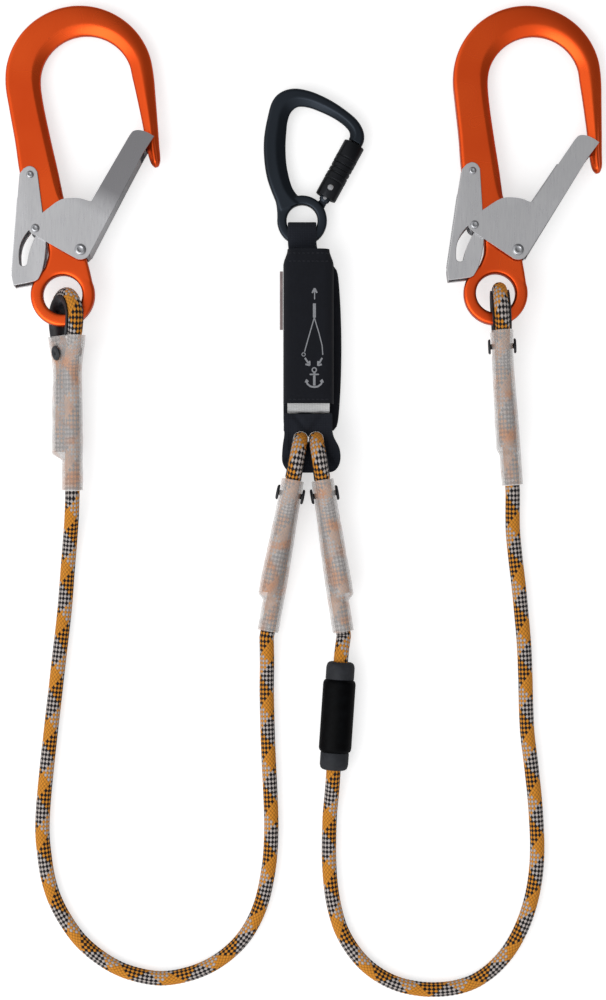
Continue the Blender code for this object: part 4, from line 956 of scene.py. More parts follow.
def row_tree(copy: Copy) -> Tree:
    """Return the tree that sets copies along a path, made once for each kind.

    Args:
        copy: what is repeated.

    Returns:
        A tree with inputs for the step, the copy's length and width, and its material.
    """
    name = copy.value + "_row"
    tree = bpy.data.node_groups.get(name)
    if tree is not None:
        return tree
    tree = bpy.data.node_groups.new(name, "GeometryNodeTree")
    sockets = [("Geometry", "Geometry"), ("Step", "Float"), ("Length", "Float"), ("Width", "Float")]
    for title, kind in sockets + [("Material", "Material")]:
        tree.interface.new_socket(title, in_out="INPUT", socket_type="NodeSocket" + kind)
    tree.interface.new_socket("Geometry", in_out="OUTPUT", socket_type="NodeSocketGeometry")
    given = add_node(tree, "NodeGroupInput").outputs
    path = add_node(tree, "GeometryNodeMeshToCurve", {0: given["Geometry"]})
    spots = {"Curve": path.outputs[0], "Length": given["Step"]}
    points = add_node(tree, "GeometryNodeCurveToPoints", spots, mode="LENGTH").outputs
    if copy is Copy.STITCH:
        solid = add_node(tree, "GeometryNodeMeshUVSphere", {"Segments": 8, "Rings": 5, "Radius": 0.5})
        facing, sides = "Tangent", ("Length", "Width", "Width")
    else:
        solid = add_node(tree, "GeometryNodeMeshCylinder", {"Vertices": 8, "Radius": 0.5, "Depth": 1.0})
        facing, sides = "Normal", ("Width", "Width", "Length")
    turn = add_node(tree, "FunctionNodeAlignRotationToVector", {"Vector": points[facing]}, axis="X")
    size = add_node(tree, "ShaderNodeCombineXYZ", {i: given[side] for i, side in enumerate(sides)})
    placed = add_node(tree, "GeometryNodeInstanceOnPoints", {
        "Points": points["Points"], "Instance": solid.outputs["Mesh"], "Rotation": turn.outputs[0],
        "Scale": size.outputs[0]})
    real = add_node(tree, "GeometryNodeRealizeInstances", {0: placed.outputs[0]})
    smooth = add_node(tree, "GeometryNodeSetShadeSmooth", {"Geometry": real.outputs[0]})
    dressed = {"Geometry": smooth.outputs[0], "Material": given["Material"]}
    done = add_node(tree, "GeometryNodeSetMaterial", dressed)
    add_node(tree, "NodeGroupOutput", {0: done.outputs[0]})
    return tree


def row(name: str, paths: Sequence[Sequence[Vector]], copy: Copy, step: float, length: float, width: float,
        finish: Finish) -> Piece:
    """Set copies along paths, as one plain mesh.

    Args:
        name: the piece's name.
        paths: the lines that the copies follow.
        copy: what is repeated.
        step: distance between copies, in metres.
        length: a copy's length.
        width: a copy's width.
        finish: its finish.

    Returns:
        The piece.
    """
    mesh = bpy.data.meshes.new(name)
    vertices: list[Vector] = []
    edges: list[tuple[int, int]] = []
    for path in paths:
        start = len(vertices)
        vertices += path
        edges += [(start + i, start + i + 1) for i in range(len(path) - 1)]
    mesh.from_pydata(vertices, edges, [])
    piece = add_object(name, mesh)
    modifier = piece.modifiers.new("row", "NODES")
    modifier.node_group = row_tree(copy)
    values = {"Step": step, "Length": length, "Width": width, "Material": finish.material()}
    for item in modifier.node_group.interface.items_tree:
        if item.in_out == "INPUT" and item.name in values:
            modifier[item.identifier] = values[item.name]
    return settle(piece)


# The rope


@dataclass(frozen=True)
class Rope:
    """The 11 mm braided rope and how its sheath stands up."""

    radius: float = ROPE_RADIUS
    pitch: float = 0.0405
    strands: int = 12
    around: int = 48
    rings_a_pitch: int = 48
    relief: float = 0.00032
    end_map: Point = (0.02, 0.02)

    def frames(self, line: Sequence[Vector]) -> list[tuple[Vector, Vector, Vector]]:
        """Return cross directions along a line, carried on without twist.

        Args:
            line: the line's points.

        Returns:
            Each point with its two cross directions.
        """
        result = []
        normal = tangent(line, 0).orthogonal().normalized()
        for i, here in enumerate(line):
            along = tangent(line, i)
            normal = (normal - along * normal.dot(along)).normalized()
            result.append((here, normal, along.cross(normal)))
        return result

    def height(self, turn: float, pitches: float) -> float:
        """Return how far the sheath stands up at a place.

        Args:
            turn: turns round the rope.
            pitches: braid pitches along it.

        Returns:
            0 in a groove to 1 on a strand.
        """
        rising, falling = self.strands * (turn - pitches), self.strands * (turn + pitches)
        crown = math.sin(math.pi * (rising - math.floor(rising)))
        swell = math.sin(math.pi * (falling - math.floor(falling)))
        return math.sqrt(max(0.0, crown * swell))

    def lay(self, name: str, line: Sequence[Vector]) -> Piece:
        """Make a length of rope, with its strands raised and mapped.

        Args:
            name: the piece's name.
            line: its middle line.

        Returns:
            The piece, with a map of turns across and pitches along.
        """
        ringed = evenly(line, self.pitch / self.rings_a_pitch)
        step = line_length(ringed) / (len(ringed) - 1) / self.pitch
        work = bmesh.new()
        layer = work.loops.layers.uv.new("UVMap")
        rows = []
        for i, (here, normal, side) in enumerate(self.frames(ringed)):
            ring = []
            for k, (cos, sin) in enumerate(round_steps(self.around)):
                reach = self.radius - self.relief * (1 - self.height(k / self.around, i * step))
                ring.append(work.verts.new(here + (normal * cos + side * sin) * reach))
            rows.append((ring, i * step))
        for (ring, low), (other, high) in zip(rows, rows[1:]):
            for k in range(self.around):
                n = (k + 1) % self.around
                face = work.faces.new((ring[k], ring[n], other[n], other[k]))
                face.smooth = True
                corners = ((k, low), (k + 1, low), (k + 1, high), (k, high))
                for loop, (column, value) in zip(face.loops, corners):
                    loop[layer].uv = (column / self.around, value)
        for ring in (rows[0][0][::-1], rows[-1][0]):
            for loop in work.faces.new(ring).loops:
                loop[layer].uv = self.end_map
        mesh = bpy.data.meshes.new(name)
        work.to_mesh(mesh)
        work.free()
        return add_object(name, mesh)


ROPE = Rope()


@dataclass
class SewnEnd:
    """A sewn eye: rope round a thimble, its tail stitched to the main run under a shrink sleeve.

    A reach is a distance from the eye's middle down the sleeve. The tail is side 1, the main run -1.
    """

    name: str
    centre: Point
    heading_deg: float
    roll_deg: Point
    loop_radius: float = 0.0170
    taper: float = 0.042
    run_spacing: float = 0.0118
    sleeve_radius: float = 0.0080
    sleeve_wall: float = 0.0012
    sleeve_start: float = 0.014
    sleeve_wide_end: float = 0.101
    sleeve_shoulder: float = 0.006
    sleeve_end: float = 0.129
    sleeve_crease: float = 0.10
    tail_end: float = 0.100
    twist_start: float = 0.004
    thimble_wall: float = 0.0014
    thimble_wrap: float = math.radians(82.0)
    thimble_back: float = 0.0040
    thimble_flank: float = 0.0070
    pin_reach: float = 0.025
    pin_radius: float = 0.0020
    disc_radius: float = 0.0056
    disc_thickness: float = 0.0018
    disc_lift: float = 0.0004
    stitch_spacing: float = 0.0026
    stitch_lift: float = 0.0008
    step: float = 0.0015
    down: Vector = field(init=False)
    side: Vector = field(init=False)

    def __post_init__(self) -> None:
        """Work out the sleeve's direction."""
        heading = math.radians(self.heading_deg)
        self.down = Vector((math.sin(heading), -math.cos(heading), 0.0))
        self.side = Vector((math.cos(heading), math.sin(heading), 0.0))

    def half_spacing(self, reach: float) -> float:
        """Return half the distance between the runs.

        Args:
            reach: distance from the eye's middle.

        Returns:
            The half distance.
        """
        narrow = self.run_spacing / 2
        share = min(1.0, max(0.0, reach / self.taper))
        return narrow + (self.loop_radius - narrow) * 0.5 * (1 + math.cos(math.pi * share))

    def stack(self, reach: float) -> Vector:
        """Return the direction from the main run to the tail.

        Args:
            reach: distance from the eye's middle.

        Returns:
            A unit vector.
        """
        share = smooth_step((reach - self.twist_start) / (self.sleeve_wide_end - self.twist_start))
        angle = math.radians(self.roll_deg[0] + (self.roll_deg[1] - self.roll_deg[0]) * share)
        return self.side * -math.sin(angle) + Vector((0, 0, math.cos(angle)))

    def middle(self, reach: float) -> Vector:
        """Return the point midway between the runs."""
        height = FLOOR_GAP + self.sleeve_radius + self.half_spacing(reach) * abs(self.stack(reach).z)
        return Vector((*self.centre, 0.0)) + self.down * reach + Vector((0, 0, height))

    def run(self, reach: float, side: int) -> Vector:
        """Return a run's middle."""
        return self.middle(reach) + self.stack(reach) * self.half_spacing(reach) * side

    def run_direction(self, reach: float, side: int) -> Vector:
        """Return the direction in which a run leads away from the loop."""
        step = 0.0005
        return (self.run(reach + step, side) - self.run(reach - step, side)).normalized()

    def loop(self, angle: float) -> Vector:
        """Return a point of the loop, from the main run at 0 to the tail at pi."""
        away = self.stack(0) * -math.cos(angle) - self.down * math.sin(angle)
        return self.middle(0) + away * self.loop_radius

    def across(self, reach: float) -> Vector:
        """Return the direction of the pin."""
        return self.down.cross(self.stack(reach)).normalized()

    def rope_line(self) -> list[Vector]:
        """Return the rope's middle line, from the free rope round to the tail's end."""
        count = round(self.sleeve_end / self.step)
        line = [self.run(self.sleeve_end * i / count, -1) for i in range(count, 0, -1)]
        line += [self.loop(math.pi * i / 32) for i in range(33)]
        count = round(self.tail_end / self.step)
        return line + [self.run(self.tail_end * i / count, 1) for i in range(1, count + 1)]

    def sleeve_ring(self, reach: float, radius: float, crease: float) -> list[Vector]:
        """Return one ring of the sleeve's section.

        Args:
            reach: distance from the eye's middle.
            radius: the wall's distance from each run's middle.
            crease: how deep the wall is drawn in by its shrinking.

        Returns:
            The ring's points.
        """
        shoulder = 1 - smooth_step((reach - self.sleeve_wide_end) / self.sleeve_shoulder)
        stack = self.stack(reach)
        across = self.across(reach)
        main = self.run(reach, -1)
        tail = main + stack * (2 * self.half_spacing(reach) * shoulder)
        ring = []
        for centre, start, side in ((tail, 0.0, 1), (main, math.pi, -1)):
            stretch = 1 / abs(self.run_direction(reach, side).dot(self.down))
            for cos, sin in sweep(start, start + math.pi, 16):
                draw = 1 - crease * noise.noise(Vector((cos * 2, sin * 2, reach * 90)))
                wall = radius * min(1.0, draw)
                ring.append(centre + across * (cos * wall) + stack * (sin * wall * stretch))
        return ring

    def thimble_rings(self) -> list[list[Vector]]:
        """Return the thimble's rings along the inner side of the loop."""
        legs = [(self.sleeve_start - GAP) * i / 8 for i in range(1, 9)]
        places = [self.leg_frame(reach, -1) for reach in reversed(legs)]
        for i in range(41):
            rope = self.loop(math.pi * i / 40)
            places.append((rope, (rope - self.middle(0)).normalized(), self.across(0)))
        places += [self.leg_frame(reach, 1) for reach in legs]
        groove = ROPE_RADIUS + GAP
        back = groove + self.thimble_wall
        flank = self.thimble_flank
        saddle = []
        for i in range(17):
            angle = self.thimble_wrap * (i / 8 - 1)
            saddle.append((groove * math.sin(angle), groove * math.cos(angle)))
        half = [(flank - 0.0003, 0.0005), (flank, 0.0010), (flank - 0.0001, 0.0026), (flank - 0.0010, 0.0050),
                (self.thimble_back, back - 0.0003), (self.thimble_back / 2, back)]
        profile = saddle + half + [(0.0, back)] + [(-reach, depth) for reach, depth in reversed(half)]
        return [[rope - outward * depth + across * reach for reach, depth in profile]
                for rope, outward, across in places]

    def leg_frame(self, reach: float, side: int) -> tuple[Vector, Vector, Vector]:
        """Return a run's middle, its direction away from the other run, and the pin's direction.

        Args:
            reach: distance from the eye's middle.
            side: -1 for the main run, 1 for the tail.

        Returns:
            The point and the two unit vectors.
        """
        direction = self.run_direction(reach, side)
        outward = self.stack(reach) * side
        outward = (outward - direction * outward.dot(direction)).normalized()
        return self.run(reach, side), outward, direction.cross(outward) * side

    def pin_frame(self) -> Matrix:
        """Return the pin's matrix, Z along the pin, square to the sleeve's flank."""
        along = (self.middle(self.pin_reach + 0.005) - self.middle(self.pin_reach - 0.005)).normalized()
        across = along.cross(self.stack(self.pin_reach)).normalized()
        turn = Matrix((along, across.cross(along), across)).transposed().to_4x4()
        return Matrix.Translation(self.middle(self.pin_reach)) @ turn

    def pin(self) -> Piece:
        """Return the pin with its two dished disc heads."""
        inner = self.sleeve_radius + GAP + self.disc_lift
        outer = inner + self.disc_thickness
        rim = self.disc_radius
        half = [(self.pin_radius, inner), (rim - 0.0003, inner), (rim, inner + 0.0003), (rim, inner + 0.0010),
                (rim - 0.0004, outer - 0.0003), (rim - 0.0010, outer), (0.0030, outer),
                (0.0022, outer - 0.0004), (0.0014, outer - 0.0004), (0.0010, outer - 0.0012),
                (0.0, outer - 0.0012)]
        return place(turned(self.name + "_pin_discs", mirrored(half), 40), self.pin_frame())

    def stitch_paths(self) -> list[list[Vector]]:
        """Return the rows of stitches that sew the tail to the main run, under the sleeve."""
        start, end = self.taper * 0.85, self.tail_end * 0.96
        paths = []
        for face in (-1, 1):
            for offset in (-self.stitch_spacing, 0.0, self.stitch_spacing):
                path = []
                for i in range(40):
                    reach = start + (end - start) * i / 39
                    from_rope = self.half_spacing(reach) - abs(offset)
                    lift = math.sqrt(max(0.0, ROPE_RADIUS ** 2 - from_rope ** 2)) + self.stitch_lift
                    out = self.across(reach) * face * lift
                    path.append(self.middle(reach) + self.stack(reach) * offset + out)
                paths.append(path)
        return paths

    def build(self) -> None:
        """Make the eye's rope, thimble, pin, stitches and sleeve."""
        eye = ROPE.lay(self.name + "_braided_eye", self.rope_line())
        thimble = loft(self.name + "_saddle", self.thimble_rings(), sharp_deg=50)
        pin = self.pin()
        length = self.sleeve_end - self.sleeve_start
        count = round(length / self.step)
        reaches = [self.sleeve_start + length * i / count for i in range(count + 1)]
        bore = self.sleeve_radius - self.sleeve_wall
        rings = [self.sleeve_ring(reach, self.sleeve_radius, self.sleeve_crease) for reach in reaches]
        rings += [self.sleeve_ring(reach, bore, 0.0) for reach in reversed(reaches)]
        sleeve = loft(self.name + "_shrink_sleeve", rings, closed=True, sharp_deg=50)
        stitches = row(self.name + "_stitches", self.stitch_paths(), Copy.STITCH, 0.0030, 0.0026, 0.0009,
                       SLEEVE_THREAD)
        show(eye, ROPE_SHEATH, "lanyard", "rope_sheath", self.name + "_rope_eye")
        show(thimble, BLACK_NYLON, "lanyard", "black_plastic", self.name + "_thimble")
        show(pin, BLACK_NYLON, "lanyard", "black_plastic", self.name + "_thimble_pin")
        show(sleeve, SHRINK_SLEEVE, "lanyard", "milky_sleeve", self.name + "_sleeve")
        show(stitches, SLEEVE_THREAD, "lanyard", "milky_sleeve")


# The scaffold hooks


NECK_LEFT = (
    (-0.0140, 0.0165), (-0.0116, 0.0214), (-0.0085, 0.0290), (-0.0079, 0.0341),
    (-0.0085, 0.0430), (-0.0094, 0.0514), (-0.0116, 0.0641), (-0.0160, 0.0720),
    (-0.0206, 0.0791), (-0.0236, 0.0930), (-0.0252, 0.1190), (-0.0275, 0.1450),
)
NECK_RIGHT = (
    (0.0140, 0.0165), (0.0165, 0.0192), (0.0203, 0.0250), (0.0228, 0.0330),
    (0.0212, 0.0428), (0.0175, 0.0535), (0.0105, 0.0660), (0.0072, 0.0727),
    (0.0062, 0.0800), (0.0047, 0.0930), (0.0012, 0.1190), (-0.0018, 0.1450),
)
NOSE_OUTER = ((0.0826, 0.1420), (0.0823, 0.1200), (0.0820, 0.1052), (0.0817, 0.0942), (0.0802, 0.0900))
NOSE_INNER = ((0.0684, 0.1450), (0.0712, 0.1199), (0.0724, 0.1052), (0.0746, 0.0927), (0.0772, 0.0892))
GUSSET = (
    (0.0060, 0.0180), (0.0150, 0.0120), (0.0229, 0.0060), (0.0216, 0.0160), (0.0202, 0.0248),
    (0.0196, 0.0300), (0.0080, 0.0300),
)
GATE_CROWN = (
    (0.0791, 0.1111), (0.0735, 0.1150), (0.0680, 0.1169), (0.0640, 0.1165), (0.0609, 0.1135),
    (0.0293, 0.0685), (0.0278, 0.0669), (0.0210, 0.0694), (0.0143, 0.0706), (0.0056, 0.0701),
    (-0.0101, 0.0608),
)
LEVER_OUTLINE = (
    (-0.0236, 0.0930), (-0.0262, 0.0780), (-0.0362, 0.0174), (-0.0354, 0.0095),
    (-0.0250, 0.0105), (-0.0164, 0.0127), (-0.0086, 0.0364), (-0.0090, 0.0664),
    (-0.0101, 0.0932), (-0.0122, 0.0966), (-0.0160, 0.0982), (-0.0200, 0.0968),
)


@dataclass
class ScaffoldHook:
    """A forged hook with a pressed gate and lock lever, in its own frame on the ring's centre."""

    side: str
    end: SewnEnd
    seat: Point
    bearing_deg: float
    turn_deg: float
    thickness: float = 0.0120
    ring_hole: float = 0.0146
    ring_outer: float = 0.0240
    ring_thickness: float = 0.0100
    bowl_outer: Point = (0.0270, 0.1618)
    bowl_outer_radius: float = 0.0556
    bowl_inner: Point = (0.0320, 0.1595)
    bowl_inner_radius: float = 0.0345
    edge: float = 0.0025
    gate_pivot: Point = (0.0168, 0.0313)
    heel_pin: Point = (-0.0152, 0.0505)
    lever_pivot: Point = (-0.0157, 0.0916)
    gate_open_deg: float = 40.0
    lever_ratio: float = 0.14
    running: float = 0.0003
    heel_pin_radius: float = 0.0023
    slot_bow: float = 0.0020
    web_deg: float = 57.5
    web_setback: float = 0.0083
    web_foot: float = -0.0010
    web_head: float = 0.0858
    bend_radius: float = 0.0022
    tab_face: float = 0.0720
    tab_low: float = 0.1022
    tab_high: float = 0.1092
    tab_thickness: float = 0.0022
    press_depth: float = 0.0004
    rivet_rise: float = 0.0016
    gate_finish: Finish = STAINLESS
    frame: Matrix = field(init=False)

    def __post_init__(self) -> None:
        """Work out where the hook hangs and how far it leans to the floor."""
        bearing = math.radians(self.bearing_deg)
        turn = math.radians(self.turn_deg)
        mean = (self.ring_hole + self.ring_outer) / 2 - self.seat[0]
        eye = self.end.middle(0) - Vector((0, 0, self.seat[1]))
        reach = self.bowl_outer[1] + self.bowl_outer_radius
        rim = mean * math.cos(bearing + turn)
        tilt = math.asin((eye.z - self.thickness / 2 - FLOOR_GAP) / (reach + rim))
        ring = (-mean * math.sin(bearing), mean * math.cos(bearing), -rim * math.sin(tilt))
        spot = eye + Vector(ring)
        self.frame = Matrix.Translation(spot) @ Matrix.Rotation(turn, 4, "Z") @ Matrix.Rotation(-tilt, 4, "X")

    @property
    def lever_half(self) -> float:
        """Half the lever's width over its two flanges."""
        return self.thickness / 2 + self.running + SHEET

    @property
    def gate_half(self) -> float:
        """Half the gate's width over its two flanges."""
        return self.lever_half + self.running + SHEET

    def bar_ring(self, outer: Vector, inner: Vector, form: Sequence[float]) -> list[Vector]:
        """Return one ring of the forged bar.

        Args:
            outer: the bar's outer edge.
            inner: the bar's inner edge.
            form: the share of the width that slopes down inside the crest, the crown (0 for a flat
                face, 1 for one that falls away to the outer edge), and the height of the crest.

        Returns:
            The ring's points.
        """
        slope_share, crown, half = form
        width = (inner - outer).length
        edge = min(self.edge, width * 0.25)
        half = min(half, width * 0.9)
        rim = half * (1 - 0.42 * crown)
        crest = width * (1 - slope_share)
        upper = rounded_start(edge, rim)
        for share in (i / 5 for i in range(6)):
            upper.append((edge + (crest - edge) * share, rim + (half - rim) * (1 - (1 - share) ** 2)))
        for share, tall in ((0.3, 0.86), (0.6, 0.68), (0.85, 0.50), (1.0, 0.34)):
            upper.append((crest + (width - crest) * share, half * tall))
        return bar_section(outer, inner, upper)

    def bar_forms(self, steps: int) -> list[tuple[float, float, float]]:
        """Return the bar's forms from the ring to the nose.

        Args:
            steps: how many points the bowl has.

        Returns:
            A slope share, crown and crest height for each point of the outline.
        """
        neck, full = self.ring_thickness / 2, self.thickness / 2
        forms = [(0.10, 0.0, neck)] * 4 + [(0.11, 0.0, (neck + full) / 2)]
        forms += [(0.12 + 0.013 * i, 0.0, full) for i in range(7)]
        for share in (i / steps for i in range(steps + 1)):
            forms.append((0.21 + 0.23 * share ** 0.8, 0.75 * share ** 1.2, full))
        return forms + [(0.46, 0.85, full), (0.48, 0.9, full)] + [(0.50, 1.0, full)] * 3

    def body(self) -> Piece:
        """Return the forged body: neck, bowl, nose and ring as one skin."""
        steps, parts = 12, 4
        outer, inner = [through(list(neck) + arc(centre, radius, math.pi, 0.0, steps) + list(nose), parts)
                        for neck, centre, radius, nose in (
                            (NECK_LEFT, self.bowl_outer, self.bowl_outer_radius, NOSE_OUTER),
                            (NECK_RIGHT, self.bowl_inner, self.bowl_inner_radius, NOSE_INNER))]
        forms = self.bar_forms(steps)
        rings = []
        for i, (o, n) in enumerate(zip(outer, inner)):
            low = min(len(forms) - 2, i // parts)
            form = [a + (b - a) * (i / parts - low) for a, b in zip(forms[low], forms[low + 1])]
            rings.append(self.bar_ring(o, n, form))
        body = loft(self.side + "_forged_hook", rings)
        half = self.ring_thickness / 2
        combine(body, eyelet(self.ring_hole, self.ring_outer, self.ring_thickness, 24, 64), Join.ADD)
        gusset = plate("gusset", GUSSET, -half, half)
        round_edges(gusset, 0.0012, 3)
        combine(body, gusset, Join.ADD)
        forge(body, 0.0006, 7)
        return body

    def gate(self) -> Piece:
        """Return the pressed gate: two flanges, web, open tip and cross tab."""
        along = Vector(point_at((0.0, 0.0), 1.0, math.radians(self.web_deg)))
        inward = Vector((-along.y, along.x))
        pivot = Vector(self.gate_pivot)
        web = pivot - inward * self.web_setback
        foot, head = web + along * self.web_foot, web + along * self.web_head
        boss_end = math.atan2(foot.y - pivot.y, foot.x - pivot.x) + 0.15
        outline = through(GATE_CROWN[:5], 4) + through(GATE_CROWN[5:], 4)
        outline += arc(self.heel_pin, 0.0048, math.radians(125), math.radians(240), 14)
        outline += arc(self.gate_pivot, 0.0075, math.radians(238), boss_end + 2 * math.pi, 14)
        half = self.gate_half
        gate = plate(self.side + "_pressed_gate", outline + [foot, head], -half, half)
        roll_edges(gate, foot, head, self.bend_radius)
        inner_foot = foot + inward * SHEET
        inner_head = inner_foot + along * ((0.0942 - foot.y) / along.y)
        hollow = [inner_foot - along * 0.02, inner_head, (inner_head.x + 0.03, inner_head.y),
                  (inner_head.x + 0.03, 0.14), (-0.05, 0.14), (-0.05, 0.0)]
        between = half - SHEET
        combine_plate(gate, hollow, -between, between)
        far, near = self.tab_face - GAP, self.tab_face - GAP - self.tab_thickness
        tab = [(near, self.tab_low), (far, self.tab_low), (far, self.tab_high), (near, self.tab_high)]
        combine_plate(gate, tab, -between - SHEET / 2, between + SHEET / 2, Join.ADD)
        # The arm is pressed down a little from the broad plate. Its lower flange stands out past the upper
        crown_foot, crown_head = Vector(GATE_CROWN[5]), Vector(GATE_CROWN[4])
        arm = (crown_head - crown_foot).normalized()
        out = Vector((-arm.y, arm.x))
        base = foot + inward * 0.0040
        pressed = [base + along * 0.034, base + along * 0.110, crown_head + out * 0.010 + arm * 0.02,
                   crown_foot + out * 0.010]
        for sign in (-1, 1):
            low, high = sorted((sign * (half - self.press_depth), sign * (half + 0.002)))
            combine_plate(gate, pressed, low, high)
        lip = [crown_foot + out * side + arm * reach for side, reach in
               ((-0.002, 0.0), (0.0014, 0.001), (0.0014, 0.036), (-0.002, 0.038))]
        combine_plate(gate, lip, -half, -half + SHEET, Join.ADD)
        round_edges(gate, 0.0004)
        return gate

    def lever_point(self, gate_angle: float) -> Vector:
        """Return the heel pin's place in the lever's rest frame, the gate open by an angle.

        Args:
            gate_angle: how far the gate is open, in radians.

        Returns:
            The pin's place.
        """
        pivot, lever = Vector(self.gate_pivot), Vector(self.lever_pivot)
        heel = Matrix.Rotation(gate_angle, 2) @ (Vector(self.heel_pin) - pivot) + pivot
        return Matrix.Rotation(-gate_angle * self.lever_ratio, 2) @ (heel - lever) + lever

    def slot_outline(self) -> list[Sequence[float]]:
        """Return the lever's slot: the heel pin's path with the pin's width and clearance."""
        radius = self.heel_pin_radius + 2 * self.running
        opening = math.radians(self.gate_open_deg)
        steps = 20
        path = [self.lever_point(opening * i / steps) for i in range(steps + 1)]
        left, right = [], []
        for i, here in enumerate(path):
            along = tangent(path, i)
            normal = Vector((along.y, -along.x))
            left.append(here + normal * (radius + self.slot_bow * math.sin(math.pi * i / steps)))
            right.append(here - normal * radius)
        outline: list[Sequence[float]] = []
        for centre, start, edge in ((path[0], right[0], left[1:-1]), (path[-1], left[-1], right[-2:0:-1])):
            first = math.atan2(start.y - centre.y, start.x - centre.x)
            outline += arc(centre, radius, first, first + math.pi, 12) + edge
        return outline

    def lever(self) -> Piece:
        """Return the pressed lock lever with its curved slot."""
        half = self.lever_half
        between = half - SHEET
        knee, shoe, heel = [Vector(p) for p in LEVER_OUTLINE[1:4]]
        outline = list(LEVER_OUTLINE[:4]) + through(LEVER_OUTLINE[4:8], 3) + through(LEVER_OUTLINE[8:], 4)
        lever = plate(self.side + "_pressed_lever", outline, -half, half)
        hollow = [(heel.x + SHEET, -0.01), (shoe.x + SHEET, shoe.y), (knee.x + SHEET, 0.0800),
                  (-0.05, 0.0800), (-0.05, 0.11), (0.01, 0.11), (0.01, -0.01)]
        combine_plate(lever, hollow, -between, between)
        combine_plate(lever, self.slot_outline(), -0.02, 0.02)
        round_edges(lever, 0.00045)
        return lever

    def rivet(self, name: str, spot: Point, radius: float, head: float, seat: float) -> Piece:
        """Return a rivet with a dished dome on each side.

        Args:
            name: the piece's name.
            spot: its place in the hook's frame.
            radius: the shank's radius.
            head: the head's radius.
            seat: where the heads start, from the middle plane.

        Returns:
            The rivet.
        """
        half = [(radius, seat), (head - 0.0001, seat), (head, seat + 0.0002)]
        for share, rise in ((1.0, 0.45), (0.93, 0.72), (0.72, 0.95), (0.55, 1.0), (0.45, 0.8), (0.22, 0.72),
                            (0.0, 0.70)):
            half.append((head * share, seat + self.rivet_rise * rise))
        return place(turned(name, mirrored(half), 36), Matrix.Translation((*spot, 0.0)))

    def ridge_path(self) -> list[Vector]:
        """Return the line of the thumb ridges down the lever's back."""
        knee, shoe = [Vector((*p, 0.0)) for p in LEVER_OUTLINE[1:3]]
        start, stop = knee.lerp(shoe, 0.06), knee.lerp(shoe, 0.94)
        return [start.lerp(stop, i / 20) for i in range(21)]

    def build(self) -> None:
        """Make the hook's pieces and put them in place."""
        side = self.side
        hook, gate, lever = side + "_hook", side + "_hook_gate", side + "_hook_lever"
        show(place(self.body(), self.frame), ORANGE_FORGING, hook, "orange_anodised", side + "_hook_body")
        show(place(self.gate(), self.frame), self.gate_finish, gate, "stainless_sheet", side + "_gate")
        show(place(self.lever(), self.frame), STAINLESS, lever, "stainless_sheet", side + "_lock_lever")
        for name, node, body, spot, radius, head, seat in (
                ("_pivot_rivet", "_gate_rivet", hook, self.gate_pivot, 0.0030, 0.0042, self.gate_half),
                ("_heel_rivet", "_heel_pin", gate, self.heel_pin, self.heel_pin_radius, 0.0031,
                 self.gate_half),
                ("_lever_top_rivet", "_lever_rivet", hook, self.lever_pivot, 0.0022, 0.0027,
                 self.lever_half)):
            rivet = self.rivet(side + name, spot, radius, head, seat + GAP)
            show(place(rivet, self.frame), RIVET_STEEL, body, "rivet_steel", side + node)
        ridges = row(side + "_thumb_ridges", [self.ridge_path()], Copy.RIDGE, 0.0017, self.lever_half * 1.8,
                     0.0011, STAINLESS)
        show(place(ridges, self.frame), STAINLESS, lever, "stainless_sheet")
        dress_solids(RIVET_STEEL, side + "_gate_spring", side + "_lever_spring")


# The carabiner


